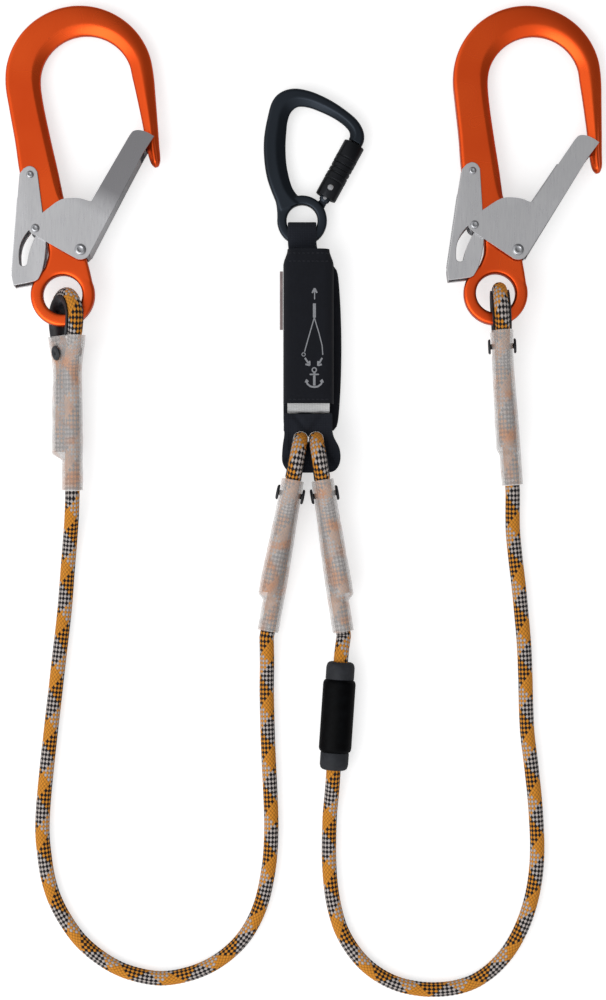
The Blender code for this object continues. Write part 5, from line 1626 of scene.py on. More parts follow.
@dataclass
class Carabiner:
    """A forged captive-eye carabiner with a twist-lock sleeve, in its own frame on the eye."""

    spot: Point = (-0.0031, 0.0728)
    eye_hole: float = 0.0116
    eye_outer: float = 0.0188
    eye_thickness: float = 0.0096
    thickness: float = 0.0110
    edge: float = 0.0030
    hinge: Point = (0.0172, 0.0166)
    lean_deg: float = 28.6
    sleeve_radius: float = 0.0082
    sleeve_length: float = 0.0460
    sleeve_start: float = 0.0005
    rod_radius: float = 0.0050
    nose_half: float = 0.0056
    lug_width: float = 0.0058
    lug_thickness: float = 0.0056
    rivet_reach: float = 0.0085
    rivet_radius: float = 0.0023
    sleeve_edge: float = 0.0009
    grooves: tuple[Point, ...] = (
        (0.0150, 0.00025), (0.0205, 0.0006), (0.0245, 0.0006), (0.0285, 0.0006), (0.0340, 0.00025),
    )
    rib_bands: tuple[float, float] = (0.0178, 0.0316)
    rib_length: float = 0.0032
    rib_sink: float = 0.0003
    ribs_a_band: int = 40
    frame: Matrix = field(init=False)
    gate_frame: Matrix = field(init=False)
    outer: tuple[Point, ...] = (
        (0.0467, 0.0605), (0.0462, 0.0668), (0.0420, 0.0746), (0.0315, 0.0837), (0.0189, 0.0916),
        (0.0052, 0.0973), (-0.0070, 0.0990), (-0.0164, 0.0960), (-0.0222, 0.0898),
        (-0.0258, 0.0780), (-0.0286, 0.0620), (-0.0286, 0.0470), (-0.0266, 0.0330),
        (-0.0232, 0.0225), (-0.0198, 0.0142), (-0.0172, 0.0068),
    )
    inner: tuple[Point, ...] = (
        (0.0360, 0.0635), (0.0356, 0.0666), (0.0326, 0.0706), (0.0255, 0.0760), (0.0145, 0.0815),
        (0.0040, 0.0852), (-0.0035, 0.0854), (-0.0083, 0.0815), (-0.0108, 0.0750),
        (-0.0118, 0.0665), (-0.0124, 0.0560), (-0.0119, 0.0440), (-0.0103, 0.0345),
        (-0.0070, 0.0240), (-0.0020, 0.0176), (0.0030, 0.0145),
    )
    shoulder: tuple[Point, ...] = (
        (-0.0202, 0.0160), (-0.0192, 0.0110), (-0.0187, 0.0060), (-0.0186, 0.0010), (-0.0182, -0.0030),
        (-0.0140, -0.0040), (-0.0125, 0.0040), (-0.0120, 0.0160),
    )

    def __post_init__(self) -> None:
        """Work out the carabiner's and the gate's frames."""
        self.frame = Matrix.Translation((*self.spot, FLOOR_GAP + self.sleeve_radius))
        turn = Matrix.Rotation(-math.radians(self.lean_deg), 4, "Z") @ Matrix.Rotation(-math.pi / 2, 4, "X")
        self.gate_frame = self.frame @ Matrix.Translation((*self.hinge, 0.0)) @ turn

    def bar_ring(self, outer: Vector, inner: Vector, share: float) -> list[Vector]:
        """Return one ring of the frame's bar, with round edges and a sloped inner side.

        Args:
            outer: the bar's outer edge.
            inner: the bar's inner edge.
            share: how much of the width slopes down to the inner edge.

        Returns:
            The ring's points.
        """
        width = (inner - outer).length
        half = min(self.thickness / 2, width * 0.9)
        edge = min(self.edge, width * 0.3)
        upper = rounded_start(edge, half) + [(edge, half * 0.97)]
        for reach, tall in ((1.0, 1.0), (0.85, 0.96), (0.45, 0.66), (0.12, 0.40), (0.0, 0.26)):
            upper.append((width - width * share * reach, half * tall))
        return bar_section(outer, inner, upper)

    def body(self) -> Piece:
        """Return the forged frame with its eye and hinge lug."""
        lean = math.radians(self.lean_deg)
        along = Vector((math.sin(lean), math.cos(lean)))
        right = Vector((along.y, -along.x))
        hinge = Vector(self.hinge)
        top = self.sleeve_start + self.sleeve_length
        face = hinge + along * (math.hypot(top, self.sleeve_radius) + GAP)
        outer = through([face + right * self.nose_half] + list(self.outer), 4)
        inner = through([face - right * self.nose_half] + list(self.inner), 4)
        rings = []
        for i, (o, n) in enumerate(zip(outer, inner)):
            rings.append(self.bar_ring(o, n, 0.36 + 0.14 * math.sin(math.pi * i / (len(outer) - 1))))
        body = loft("carabiner_frame_forging", rings)
        combine(body, eyelet(self.eye_hole, self.eye_outer, self.eye_thickness, 20, 56), Join.ADD)
        half = self.eye_thickness / 2
        shoulder = plate("shoulder", self.shoulder, -half, half)
        round_edges(shoulder, 0.0012, 3)
        combine(body, shoulder, Join.ADD)
        end = self.lug_width / 2
        lug = [hinge + right * (cos * end) + along * (sin * end) for cos, sin in sweep(0.0, math.pi, 12)]
        lug += [hinge - right * end - along * 0.010, hinge + right * end - along * 0.010]
        combine_plate(body, lug, -self.lug_thickness / 2, self.lug_thickness / 2, Join.ADD)
        forge(body, 0.00055, 3)
        return body

    def lock_sleeve(self) -> Piece:
        """Return the twist sleeve with its grip grooves."""
        bore = self.rod_radius + GAP
        low = self.sleeve_start
        top = low + self.sleeve_length
        r = self.sleeve_radius
        edge = self.sleeve_edge
        line = [(bore, low), (r - edge, low), (r - edge * 0.3, low + edge * 0.3), (r, low + edge)]
        for reach, deep in self.grooves:
            for side, share in ((-0.0007, 0.0), (-0.0005, 0.7), (-0.0002, 1.0), (0.0002, 1.0), (0.0005, 0.7),
                                (0.0007, 0.0)):
                line.append((r - deep * share, reach + side))
        line += [(r, top - edge), (r - edge * 0.3, top - edge * 0.3), (r - edge, top), (bore, top)]
        return turned("twist_lock_sleeve", line, 64)

    def grip_ribs(self) -> Piece:
        """Return the ribs of the sleeve's two grip bands, each rib along the sleeve."""
        half = Vector((0, 0, self.rib_length / 2))
        ribs = []
        for band in self.rib_bands:
            for cos, sin in round_steps(self.ribs_a_band):
                root = self.sleeve_radius - self.rib_sink
                spot = Vector((root * cos, root * sin, band))
                ribs.append([spot - half, spot + half])
        return row("sleeve_grip_ribs", ribs, Copy.STITCH, self.rib_length, 0.0036, 0.0008, BLACK_COLLET)

    def stop_rivet(self) -> Piece:
        """Return the bright rivet in the sleeve's side, Z outwards."""
        radius = self.rivet_radius
        head = self.sleeve_radius + 0.0001
        shank = radius * 0.6
        low = self.rod_radius + GAP + 0.0002
        return turned("sleeve_stop_rivet", [
            (0.0, low), (shank, low), (shank, head), (radius, head), (radius, head + 0.0004),
            (radius * 0.85, head + 0.0008), (radius * 0.4, head + 0.0009), (0.0, head + 0.0009)], 32)

    def build(self) -> None:
        """Make the carabiner's pieces and put them in place."""
        group = "locking_sleeve_group"
        show(place(self.body(), self.frame), BLACK_FORGING, "carabiner", "black_anodised", "carabiner_body")
        sleeve = place(self.lock_sleeve(), self.gate_frame)
        show(sleeve, BLACK_COLLET, group, "black_anodised", "locking_sleeve")
        show(place(self.grip_ribs(), self.gate_frame), BLACK_COLLET, group, "black_anodised")
        seat = Matrix.Translation((0, 0, self.rivet_reach)) @ Matrix.Rotation(math.pi / 2, 4, "X")
        dot = place(self.stop_rivet(), self.gate_frame @ seat)
        show(dot, RIVET_STEEL, group, "rivet_steel", "locking_sleeve_rivet")
        dress_solids(BLACK_FORGING, "carabiner_gate")
        dress_solids(RIVET_STEEL, "carabiner_hinge_pin", "carabiner_gate_plunger", "carabiner_gate_spring",
                     "locking_sleeve_spring")


# The shock absorber


@dataclass
class ShockAbsorber:
    """The sewn pouch with its tear webbing, web loops, booklet and printed picture."""

    ends: tuple[SewnEnd, SewnEnd]
    carabiner: Carabiner
    middle_x: float = 0.0017
    width: float = 0.0378
    top_width: float = 0.0315
    top: float = 0.0500
    bottom: float = -0.0653
    wall: float = 0.0024
    cloth: float = 0.0011
    hem: float = 0.0005
    crease: float = 0.0005
    back_thickness: float = 0.0090
    back_top: float = 0.0390
    back_bottom: float = -0.0850
    side_bulge: float = 0.0060
    pack_width: float = 0.0322
    pack_thickness: float = 0.0165
    pack_top: float = 0.0380
    pack_bottom: float = -0.0725
    pack_layers: int = 6
    web_width: float = 0.0215
    web_thickness: float = 0.0022
    lobe_half: float = 0.0044
    lobe_wall: float = 0.0030
    lobe_length: float = 0.0162
    lobe_step: float = 0.0004
    drape_depth: float = 0.0016
    drape_width: float = 0.0022
    leaves: int = 7
    leaves_thickness: float = 0.0022
    leaves_height: float = 0.0110
    leaf_ends: tuple[float, ...] = (-0.0095, -0.0090, 0.0330, 0.0335)

    @property
    def pack_low(self) -> float:
        """Height of the tear webbing's underside."""
        return FLOOR_GAP + self.back_thickness + GAP

    @property
    def roof(self) -> float:
        """Height of the pouch's front face."""
        return self.pack_low + self.pack_thickness + GAP + self.wall

    def front(self) -> Piece:
        """Return the front cover: a crowned cloth channel with creases and a turned hem."""
        stations = 58
        tall = self.roof - self.pack_low
        arch = sweep(math.pi, 0.0, 28)
        rings = []
        for s in range(stations + 1):
            y = self.top + (self.bottom - self.top) * s / stations
            share = smooth_step((self.top - y) / 0.012)
            half = (self.top_width + (self.width - self.top_width) * share) / 2
            drop = 0.0004 + (self.hem if s < 2 or s > stations - 3 else 0.0)
            ring = []
            for cos, sin in arch:
                x = half * squared(cos)
                z = self.pack_low + tall * abs(sin) ** 0.30
                fold = noise.noise(Vector((x * 60, y * 38, 1.7))) * self.crease
                spot = (self.middle_x + x * (1 - 0.006 * abs(fold)), y, z - drop + fold * abs(sin))
                ring.append(Vector(spot))
            for cos, sin in reversed(arch):
                x = (half - self.cloth) * squared(cos)
                z = self.pack_low + (tall - self.cloth - 0.0008) * abs(sin) ** 0.30
                ring.append(Vector((self.middle_x + x, y, z)))
            rings.append(ring)
        return loft("pouch_front_cover", rings, sharp_deg=60)

    def back(self) -> Piece:
        """Return the back cover: a soft slab that swells past the front on its right side."""
        rings = []
        stations = 40
        left = self.middle_x - self.width / 2
        for share in (s / stations for s in range(stations + 1)):
            y = self.back_top + (self.back_bottom - self.back_top) * share
            end = min(1.0, min(share, 1 - share) * stations / 3.0)
            squeeze = math.sqrt(max(0.0, 1 - (1 - end) ** 2))
            swell = self.side_bulge * (0.35 + 0.65 * math.sin(math.pi * share) ** 0.6)
            right = self.middle_x + self.width / 2 + swell
            centre = Vector(((left + right) / 2, y, FLOOR_GAP + self.back_thickness / 2))
            half = (right - left) / 2 * (0.90 + 0.10 * squeeze)
            tall = self.back_thickness / 2 * (0.35 + 0.65 * squeeze)
            rings.append([centre + Vector((half * squared(cos, 0.5), 0.0, tall * squared(sin, 0.45)))
                          for cos, sin in round_steps(32)])
        return loft("pouch_back_cover", rings, sharp_deg=60)

    def tear_layers(self) -> Piece:
        """Return the folded tear webbing, as a stack whose folds show at the bottom."""
        tall = self.pack_thickness / self.pack_layers
        outline: list[Point] = [(self.pack_top, self.pack_low)]
        for i in range(self.pack_layers):
            low = self.pack_low + tall * i
            fold = self.pack_bottom + 0.0016 + abs(0.0016 * math.sin(i * 1.9))
            for cos, sin in sweep(-math.pi / 2, math.pi / 2, 8):
                outline.append((fold - tall * 0.5 * cos + tall * 0.15, low + tall / 2 + tall * 0.47 * sin))
        outline.append((self.pack_top, self.pack_low + self.pack_thickness))
        half = self.pack_width / 2 - 0.0004
        columns = 24
        rings = []
        for x in (self.middle_x - half + 2 * half * c / columns for c in range(columns + 1)):
            ring = []
            for y, z in outline:
                fray = 0.0007 * noise.noise(Vector((x * 260, z * 300, 4.0)))
                ring.append(Vector((x, y + (fray if y < self.pack_bottom + 0.01 else 0.0), z)))
            rings.append(ring)
        return loft("folded_tear_webbing", rings, sharp_deg=60)

    def upper_path(self) -> list[Vector]:
        """Return the upper webbing's middle line as (Y, Z), under the carabiner's eye and back over it."""
        thick = self.web_thickness
        eye_y = self.carabiner.spot[1]
        low = FLOOR_GAP + thick / 2
        eye_z = FLOOR_GAP + self.carabiner.sleeve_radius
        high = eye_z + self.carabiner.eye_thickness / 2 + 2 * GAP + thick / 2
        radius = (high - low) / 2
        bight = eye_y - thick - radius
        rim = eye_y - self.carabiner.eye_outer
        end = self.pack_top + GAP
        under, over = self.pack_low + thick, self.pack_low + 3 * thick
        lower = [(end, under), (end + 0.003, under - 0.0004), (rim - 0.003, low + 0.0008), (rim, low),
                 (bight, low)]
        upper = [(bight, high), (rim, high), (end + 0.004, over), (end, over)]
        bend = arc((bight, (low + high) / 2), radius, -math.pi / 2, math.pi / 2, 24)[1:-1]
        return [Vector(p[:2]) for p in through(lower, 5) + bend + through(upper, 5)]

    def upper_web(self) -> Piece:
        """Return the webbing that runs through the carabiner's eye."""
        half = self.web_width / 2
        edge = self.web_thickness * 0.42
        eye_x, eye_y = self.carabiner.spot
        end = self.pack_top + GAP
        reach = eye_y - self.carabiner.eye_outer + 0.004 - end
        path = self.upper_path()
        rings = []
        for i, (y, z) in enumerate(path):
            along = tangent(path, i)
            normal = Vector((-along.y, along.x))
            share = smooth_step((y - end) / reach)
            shift = eye_x + (self.middle_x - eye_x) * 0.5 * (1 - share)
            ring = []
            for side, start in ((1, -math.pi / 2), (-1, math.pi / 2)):
                for cos, sin in sweep(start, start + math.pi, 6):
                    across = shift + side * (half - edge) + edge * cos
                    up = self.web_thickness / 2 * sin
                    ring.append(Vector((across, y + normal.x * up, z + normal.y * up)))
            rings.append(ring)
        return loft("upper_webbing", rings, sharp_deg=60)

    def lower_web(self) -> Piece:
        """Return the webbing through both thimbles, as one soft band with its two bulging lobes."""
        left, right = self.ends
        left_eye, right_eye = left.middle(0), right.middle(0)
        clear = ROPE_RADIUS + 2 * GAP
        inner_left, inner_right = left_eye.x - clear, right_eye.x + clear
        outer_left, outer_right = inner_left - self.lobe_wall, inner_right + self.lobe_wall
        top = left_eye.y + left.loop_radius - ROPE_RADIUS - GAP - left.thimble_wall - 0.0018
        bottom = top - self.lobe_length
        end = self.pack_bottom - GAP
        band = [(outer_left, end), (outer_left, top + 0.012), (outer_left - 0.0012, top + 0.003),
                (outer_left - 0.0012, bottom + 0.007), (outer_left + 0.003, bottom + 0.001),
                (inner_left + 0.006, bottom), (inner_right - 0.006, bottom),
                (outer_right + 0.0018, bottom + 0.001), (outer_right + 0.0060, bottom + 0.007),
                (outer_right + 0.0060, top + 0.001), (outer_right + 0.001, top + 0.012), (outer_right, end)]
        outline = [(inner_left, end)] + through(band, 5)
        outline += [(inner_right, end), (inner_right, top), (inner_left, top)]
        z, half, step = left_eye.z, self.lobe_half, self.lobe_step
        web = plate("lower_webbing", outline, z - half, z + half)
        fold_bottom = left_eye.y + left.loop_radius + ROPE_RADIUS + GAP
        fold = [(outer_left - step, end - step), (outer_left - step, fold_bottom),
                (outer_right + step, fold_bottom), (outer_right + step, end - step)]
        combine_plate(web, fold, z - half + step, z + half - step, Join.ADD)
        # The cloth closes round each rope eye, with a slot for the rope and its thimble
        lap = plate("lap", [(inner_left - step, top - step), (inner_right + step, top - step),
                            (inner_right + step, fold_bottom + step),
                            (inner_left - step, fold_bottom + step)],
                    z - half + 2 * step, z + half - 2 * step)
        for eye in self.ends:
            spot = Vector(eye.middle(0)[:2])
            away = (spot - Vector(eye.middle(0.02)[:2])).normalized()
            side = Vector((-away.y, away.x)) * (eye.thimble_flank + GAP)
            heading = math.atan2(away.y, away.x)
            slot = arc(spot + away * eye.loop_radius, ROPE_RADIUS + GAP / 2, heading - math.pi / 2,
                       heading + math.pi / 2, 16)
            combine_plate(lap, slot + [spot - away * 0.03 + side, spot - away * 0.03 - side], -0.01, 0.05)
        combine(web, lap, Join.ADD)
        forge(web, 0.0006, 5)
        folds = [((left_eye.x, fold_bottom + 0.010), (right_eye.x + 0.010, bottom + 0.006)),
                 ((right_eye.x + 0.002, fold_bottom + 0.011), (left_eye.x - 0.007, bottom + 0.008))]
        for start, stop in folds:
            self.drape(web, Vector(start), Vector(stop), z)
        return web

    def drape(self, web: Piece, start: Vector, stop: Vector, middle: float) -> None:
        """Press a soft fold into the upper side of the lower web.

        Args:
            web: the web.
            start: one end of the fold.
            stop: its other end.
            middle: height of the web's middle.
        """
        along = (stop - start).normalized()
        for vertex in web.data.vertices:
            if vertex.co.z > middle:
                offset = Vector(vertex.co[:2]) - start
                away = abs(offset.x * along.y - offset.y * along.x)
                depth = self.drape_depth * (vertex.co.z - middle) / self.lobe_half
                vertex.co.z -= depth * math.exp(-(away / self.drape_width) ** 2)

    def booklet(self) -> Piece:
        """Return the folded label, as a stack of page edges."""
        near = self.middle_x - self.width / 2 - GAP
        far = near - self.leaves_thickness
        low, tall = self.pack_low, self.leaves_height
        outline: list[Point] = []
        for i in range(self.leaves):
            for x, share in ((far + 0.0004, 0.0), (far, 0.3), (far, 0.7)):
                outline.append((x, low + tall * (i + share) / self.leaves))
        outline += [(far + 0.0004, low + tall), (near, low + tall), (near, low)]
        return loft("label_leaves", [[Vector((x, y, z)) for x, z in outline] for y in self.leaf_ends])

    def stroke(self, name: str, lines: Sequence[tuple[float, Sequence[Point]]]) -> Piece:
        """Return flat printed lines on the front cover.

        Args:
            name: the piece's name.
            lines: each line's width in metres, and its points in the photograph's own pixels.

        Returns:
            The ink, above the cover, not yet laid on it.
        """
        vertices: list[Vector] = []
        faces: list[tuple[int, ...]] = []
        for width, points in lines:
            line = evenly([on_floor(x, y, self.roof + 0.01) for x, y in points], 0.0006)
            start = len(vertices)
            for i, here in enumerate(line):
                along = tangent(line, i)
                side = Vector((-along.y, along.x, 0)) * (width / 2)
                ink = Vector((0, 0, 0.00008))
                vertices += [here - side, here + side, here + side + ink, here - side + ink]
            last = start + 4 * (len(line) - 1)
            for a in range(start, last, 4):
                faces += [(a + k, a + (k + 1) % 4, a + 4 + (k + 1) % 4, a + 4 + k) for k in range(4)]
            faces += [(start + 3, start + 2, start + 1, start), (last, last + 1, last + 2, last + 3)]
        return mesh_piece(name, vertices, faces)

    def picture(self) -> Piece:
        """Return the printed picture: up arrow, twin legs with a ring, two arrows and an anchor."""
        thin, wide = 0.0008, 0.0013
        lines: list[tuple[float, Sequence[Point]]] = [
            (thin, ((314.5, 301), (314.5, 291))),
            (wide, ((312.2, 294.5), (314.5, 290), (316.8, 294.5))),
            (0.0022, ((314.3, 305), (314.3, 319))),
            (thin, ((314.2, 319), (309.0, 337), (304.5, 353))),
            (thin, ((314.2, 319), (319.0, 335), (322.0, 347), (322.6, 356))),
            (0.0006, arc((303.6, 355.6), 1.8, 0.0, 2 * math.pi, 8)),
            (wide, ((305.0, 359), (308.4, 364.5))),
            (wide, ((305.4, 365.2), (309.6, 366.4), (309.4, 362.0))),
            (wide, ((322.0, 359), (319.0, 364.5))),
            (wide, ((321.6, 365.4), (317.8, 366.6), (318.0, 362.2))),
            (0.0018, ((314.2, 373), (314.2, 386.5))),
            (0.0010, ((309.6, 375.4), (318.8, 375.4))),
            (wide, ((306.2, 381.0), (307.4, 385.0), (310.6, 387.4), (314.2, 388.0), (317.8, 387.4),
                    (321.0, 385.0), (322.2, 381.0))),
            (thin, ((305.2, 383.4), (306.4, 380.4), (308.4, 382.6))),
            (thin, ((320.0, 382.6), (322.0, 380.4), (323.2, 383.4))),
            (0.0009, arc((314.2, 370.9), 2.2, 0.0, 2 * math.pi, 10)),
        ]
        return self.stroke("printed_picture", lines)

    def seam_paths(self) -> list[list[Vector]]:
        """Return the stitched seams of the front cover: two across its top and one across its bottom."""
        half = self.width / 2 - 0.0052
        return [[Vector((self.middle_x - half + 2 * half * i / 16, y, self.roof + 0.002)) for i in range(17)]
                for y in (self.top - 0.0035, self.top - 0.0095, self.bottom + 0.0030)]

    def build(self) -> None:
        """Make the absorber's pieces and put them in place."""
        front = show(self.front(), POUCH_CLOTH, "lanyard", "black_fabric", "pouch_front")
        back = show(self.back(), POUCH_CLOTH, "lanyard", "black_fabric", "pouch_back")
        show(self.tear_layers(), TEAR_CLOTH, "lanyard", "white_webbing", "tear_webbing_pack")
        show(self.upper_web(), WEB_CLOTH, "lanyard", "black_fabric", "upper_web_loop")
        show(self.lower_web(), WEB_CLOTH, "lanyard", "black_fabric", "lower_web_loop")
        show(self.booklet(), PAGE_PAPER, "lanyard", "black_plastic", "label_booklet")
        picture = self.picture()
        lay_on(picture, front, 0.00005)
        show(picture, INK, "lanyard", "black_fabric")
        seams = row("pouch_seams", self.seam_paths(), Copy.STITCH, 0.0032, 0.0026, 0.0006, THREAD)
        lay_on(seams, front, -0.0002)
        show(seams, THREAD, "lanyard", "black_fabric")


# The label tube and the free ropes


@dataclass
class LabelTube:
    """The sliding tube on the right leg: two rubber collars and a plain cover."""

    centre: Point = (0.0233, -0.2993)
    turn_deg: float = -3.9
    bore: float = 0.0070
    cover_radius: float = 0.01225
    cover_length: float = 0.0545
    cover_wall: float = 0.0022
    collar_radius: float = 0.0107
    collar_length: float = 0.0130
    spigot: float = 0.0180
    frame: Matrix = field(init=False)

    def __post_init__(self) -> None:
        """Work out the tube's frame, Z along the rope."""
        turn = Matrix.Rotation(math.radians(self.turn_deg), 4, "Z") @ Matrix.Rotation(-math.pi / 2, 4, "X")
        self.frame = Matrix.Translation((*self.centre, FLOOR_GAP + self.cover_radius)) @ turn

    def axis_point(self, along: float) -> Vector:
        """Return a point on the tube's axis."""
        return self.frame @ Vector((0, 0, along))

    def cover(self) -> Piece:
        """Return the cover, a sleeve with rolled rims."""
        half = self.cover_length / 2
        r = self.cover_radius
        inner = r - self.cover_wall
        upper = [(r, half - 0.0034), (r - 0.0002, half - 0.0022), (r - 0.0007, half - 0.0010),
                 (r - 0.0018, half), (inner, half)]
        return turned("label_cover_foil", mirrored(upper), 64)

    def collar(self, name: str, sign: int) -> Piece:
        """Return one rounded collar with the spigot that the cover sits on.

        Args:
            name: the piece's name.
            sign: 1 for the upper end, -1 for the lower.

        Returns:
            The collar.
        """
        face = self.cover_length / 2 + GAP
        end = face + self.collar_length
        spigot = self.cover_radius - self.cover_wall - GAP
        c = self.collar_radius
        profile = [(self.bore, face - self.spigot), (spigot, face - self.spigot), (spigot, face),
                   (c - 0.0002, face), (c, face + 0.0003), (c, end - 0.0042), (c - 0.0003, end - 0.0026),
                   (c - 0.0009, end - 0.0012), (c - 0.0018, end - 0.0004), (c - 0.0028, end),
                   (self.bore + 0.0005, end), (self.bore, end - 0.0004)]
        return turned(name, [(r, z * sign) for r, z in profile], 56)

    def build(self) -> list[Piece]:
        """Make the tube's pieces and return them."""
        cover = place(self.cover(), self.frame)
        pieces = [show(cover, COVER_FOIL, "label_tube", "black_plastic", "label_cover")]
        for node, sign in (("label_collar_upper", 1), ("label_collar_lower", -1)):
            collar = place(self.collar(node + "_rubber", sign), self.frame)
            pieces.append(show(collar, GREY_RUBBER, "label_tube", "grey_collar", node))
        return pieces


LEFT_ROUTE = (
    (-0.1759, -0.1480), (-0.1777, -0.1673), (-0.1798, -0.1913), (-0.1820, -0.2198),
    (-0.1854, -0.2498), (-0.1888, -0.2798), (-0.1922, -0.3098), (-0.1955, -0.3398),
    (-0.1982, -0.3698), (-0.1987, -0.3886), (-0.1974, -0.4036), (-0.1944, -0.4223),
    (-0.1892, -0.4388), (-0.1813, -0.4538), (-0.1704, -0.4688), (-0.1569, -0.4808),
    (-0.1412, -0.4902), (-0.1254, -0.4955), (-0.1097, -0.4977), (-0.0924, -0.4955),
    (-0.0759, -0.4898), (-0.0617, -0.4812), (-0.0493, -0.4696), (-0.0403, -0.4561),
    (-0.0339, -0.4411), (-0.0298, -0.4238), (-0.0272, -0.4058), (-0.0263, -0.3848),
    (-0.0268, -0.3623), (-0.0281, -0.3361), (-0.0292, -0.3061), (-0.0297, -0.2798),
    (-0.0295, -0.2610),
)
LEFT_RISE = (0.0072, 0.0020)
RIGHT_ROUTE = (
    (0.0179, -0.3736), (0.0173, -0.3886), (0.0173, -0.4088), (0.0186, -0.4283),
    (0.0216, -0.4456), (0.0265, -0.4613), (0.0336, -0.4741), (0.0434, -0.4861),
    (0.0554, -0.4955), (0.0696, -0.5022), (0.0854, -0.5056), (0.0974, -0.5062),
    (0.1116, -0.5048), (0.1259, -0.5003), (0.1386, -0.4921), (0.1499, -0.4805),
    (0.1585, -0.4673), (0.1652, -0.4523), (0.1701, -0.4358), (0.1730, -0.4186),
    (0.1741, -0.3998), (0.1735, -0.3811), (0.1720, -0.3601), (0.1694, -0.3361),
    (0.1667, -0.3136), (0.1656, -0.2911), (0.1651, -0.2686), (0.1641, -0.2461),
    (0.1622, -0.2236), (0.1600, -0.2011), (0.1574, -0.1786), (0.1557, -0.1600),
)


@dataclass
class FreeRopes:
    """The two free stretches of rope between the sewn ends."""

    left: SewnEnd
    right: SewnEnd
    absorber_left: SewnEnd
    absorber_right: SewnEnd
    tube: LabelTube
    straight: float = 0.005
    tube_lead: float = 0.003
    floor: float = ROPE_RADIUS + 0.0001
    step: float = 0.0015
    cord_step: float = 0.004

    def leave(self, end: SewnEnd, reach: float) -> Vector:
        """Return a point on the line that a sewn end's main run leaves by."""
        return end.run(end.sleeve_end, -1) + end.down * reach

    def lay(self, name: str, node: str, start: SewnEnd, points: list[Vector], stop: SewnEnd,
            pieces: Sequence[Piece]) -> None:
        """Args:
            name: the piece's name.
            node: the solid it stands for.
            start: the sewn end it leaves.
            points: the points it runs through.
            stop: the sewn end it reaches.
            pieces: what is threaded on it; not used.
        """
        line = [self.leave(start, GAP)] + through(points, 14) + [self.leave(stop, GAP)]
        line = evenly(line, self.step)
        rope = show(ROPE.lay(name, line), ROPE_SHEATH, "lanyard", "rope_sheath", node)

    def build(self, tube_pieces: Sequence[Piece]) -> None:
        """Make both ropes.

        Args:
            tube_pieces: the sliding tube's pieces.
        """
        points = [self.leave(self.left, self.straight)]
        points += [Vector((x, y, self.floor + rise)) for (x, y), rise in zip(LEFT_ROUTE, LEFT_RISE)]
        points += [Vector((x, y, self.floor)) for x, y in LEFT_ROUTE[len(LEFT_RISE):]]
        points.append(self.leave(self.absorber_left, self.straight))
        self.lay("left_free_rope", "rope_left", self.left, points, self.absorber_left, ())
        half = self.tube.cover_length / 2 + self.tube.collar_length
        points = [self.leave(self.absorber_right, self.tube_lead)]
        through_tube = (half + 0.006, half * 0.5, 0.0, -half * 0.5, -half - 0.002)
        points += [self.tube.axis_point(along) for along in through_tube]
        low = self.tube.axis_point(-half - 0.018)
        points.append(Vector((low.x, low.y, self.floor + (low.z - self.floor) * 0.45)))
        points += [Vector((x, y, self.floor)) for x, y in RIGHT_ROUTE]
        points.append(self.leave(self.right, self.straight))
        self.lay("right_free_rope", "rope_right", self.absorber_right, points, self.right, tube_pieces)


# The studio


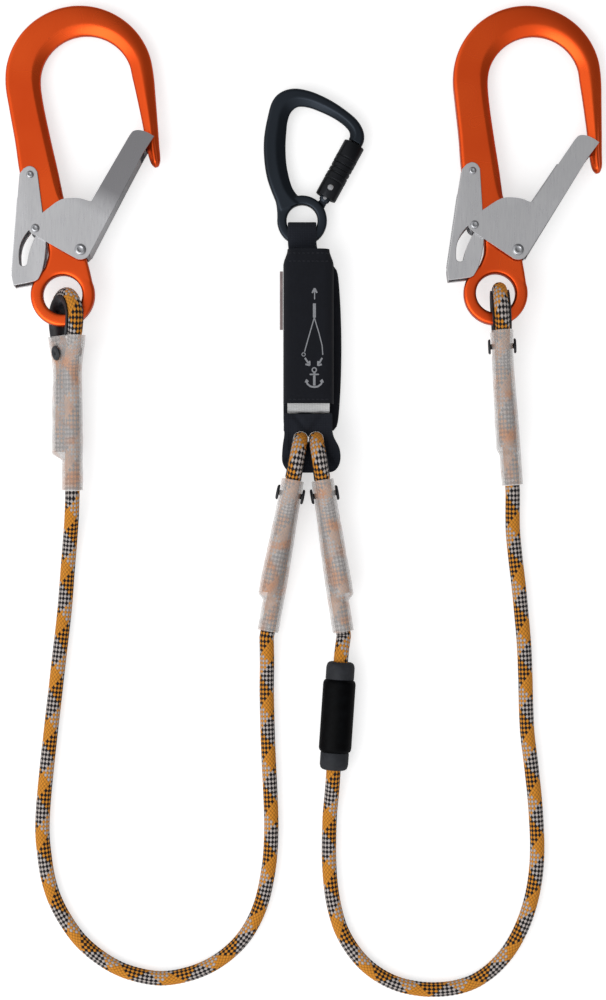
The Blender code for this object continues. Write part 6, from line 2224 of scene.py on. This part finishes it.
@dataclass
class Studio:
    """A pale floor, one soft key lamp, an even world and the camera straight above."""

    distance: float = 1.8
    subject_height: float = 0.014
    floor_half: float = 3.0
    key_offset: tuple[float, float, float] = (-1.1, -0.8, 1.5)
    key_size: float = 2.0
    key_watts: float = 26.0
    world_level: float = 0.55
    window_side: tuple[float, float, float] = (-0.75, -0.65, 0.0)

    def floor(self, middle: Vector) -> None:
        """Add the floor, square round a middle.

        Args:
            middle: the floor's middle.
        """
        half = self.floor_half
        signs = ((-1, -1), (1, -1), (1, 1), (-1, 1))
        corners = [middle + Vector((x * half, y * half, 0)) for x, y in signs]
        mesh = bpy.data.meshes.new("studio_floor")
        mesh.from_pydata(corners, [], [(0, 1, 2, 3)])
        mesh.materials.append(FLOOR.material())
        add_object("studio_floor", mesh)

    def world(self) -> None:
        """Light the scene evenly, and show gloss one wide window of light on the key's side."""
        world = bpy.data.worlds.new("studio")
        world.use_nodes = True
        bpy.context.scene.world = world
        tree = world.node_tree
        rays = add_node(tree, "ShaderNodeLightPath").outputs
        sides = {0: add_node(tree, "ShaderNodeTexCoord").outputs["Generated"], 1: self.window_side}
        lean = add_node(tree, "ShaderNodeVectorMath", sides, operation="DOT_PRODUCT").outputs["Value"]
        levels = {0: lean, 1: -0.50, 2: 0.12, 3: 0.25, 4: 1.0}
        window = add_node(tree, "ShaderNodeMapRange", levels).outputs[0]
        gloss = add_node(tree, "ShaderNodeMix", {0: rays["Is Glossy Ray"], 2: self.world_level, 3: window})
        seen = {0: rays["Is Camera Ray"], 1: gloss.outputs[0]}
        level = add_node(tree, "ShaderNodeMath", seen, operation="MAXIMUM").outputs[0]
        feed(tree, tree.nodes["Background"], {"Color": srgb("#FFFFFF"), "Strength": level})

    def key(self, middle: Vector) -> None:
        """Add the key, a soft square lamp that faces the middle.

        Args:
            middle: what the lamp faces.
        """
        data = bpy.data.lights.new("key", "AREA")
        data.shape = "SQUARE"
        data.size = self.key_size
        data.energy = self.key_watts
        lamp = add_object("key", data)
        lamp.location = middle + Vector(self.key_offset)
        lamp.rotation_euler = (-Vector(self.key_offset)).to_track_quat("-Z", "Y").to_euler()

    def camera(self, middle: Vector) -> None:
        """Add the camera above the middle, with the photograph's view.

        Args:
            middle: what the camera looks down on.
        """
        data = bpy.data.cameras.new("camera")
        data.sensor_fit = "VERTICAL"
        data.angle_y = 2 * math.atan(FRAME_PX[1] * PIXEL / 2 / self.distance)
        camera = add_object("camera", data)
        camera.location = (middle.x, middle.y, self.subject_height + self.distance)
        bpy.context.scene.camera = camera

    def build(self) -> None:
        """Set up the floor, world, lamp and camera."""
        bpy.context.scene.view_settings.view_transform = "Standard"
        middle = on_floor(FRAME_PX[0] / 2, FRAME_PX[1] / 2, 0.0)
        self.floor(middle)
        self.world()
        self.key(middle)
        self.camera(middle)


def main() -> None:
    """Build the lanyard's looks, sub-assembly by sub-assembly."""
    logging.basicConfig(level=logging.INFO, format="%(message)s")
    left = SewnEnd("left_hook", (-0.1793, -0.0010), 0.0, (150.0, 135.0))
    right = SewnEnd("right_hook", (0.1450, 0.0026), 3.8, (2.0, 15.0))
    absorber_left = SewnEnd("left_absorber", (-0.0073, -0.1086), -10.6, (0.0, 22.0), thimble_flank=0.0059)
    absorber_right = SewnEnd("right_absorber", (0.0099, -0.1086), 8.9, (0.0, -20.0), thimble_flank=0.0059)
    for end in (left, right, absorber_left, absorber_right):
        end.build()
    ScaffoldHook("left", left, (0.0025, 0.0), 8.0, 5.5, gate_finish=SHADED_ARM_STAINLESS).build()
    ScaffoldHook("right", right, (0.0045, 0.0041), 14.0, 0.9).build()
    carabiner = Carabiner()
    carabiner.build()
    ShockAbsorber((absorber_left, absorber_right), carabiner).build()
    tube = LabelTube()
    tube_pieces = tube.build()
    FreeRopes(left, right, absorber_left, absorber_right, tube).build(tube_pieces)
    Studio().build()
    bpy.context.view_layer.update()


if __name__ == "__main__":
    main()
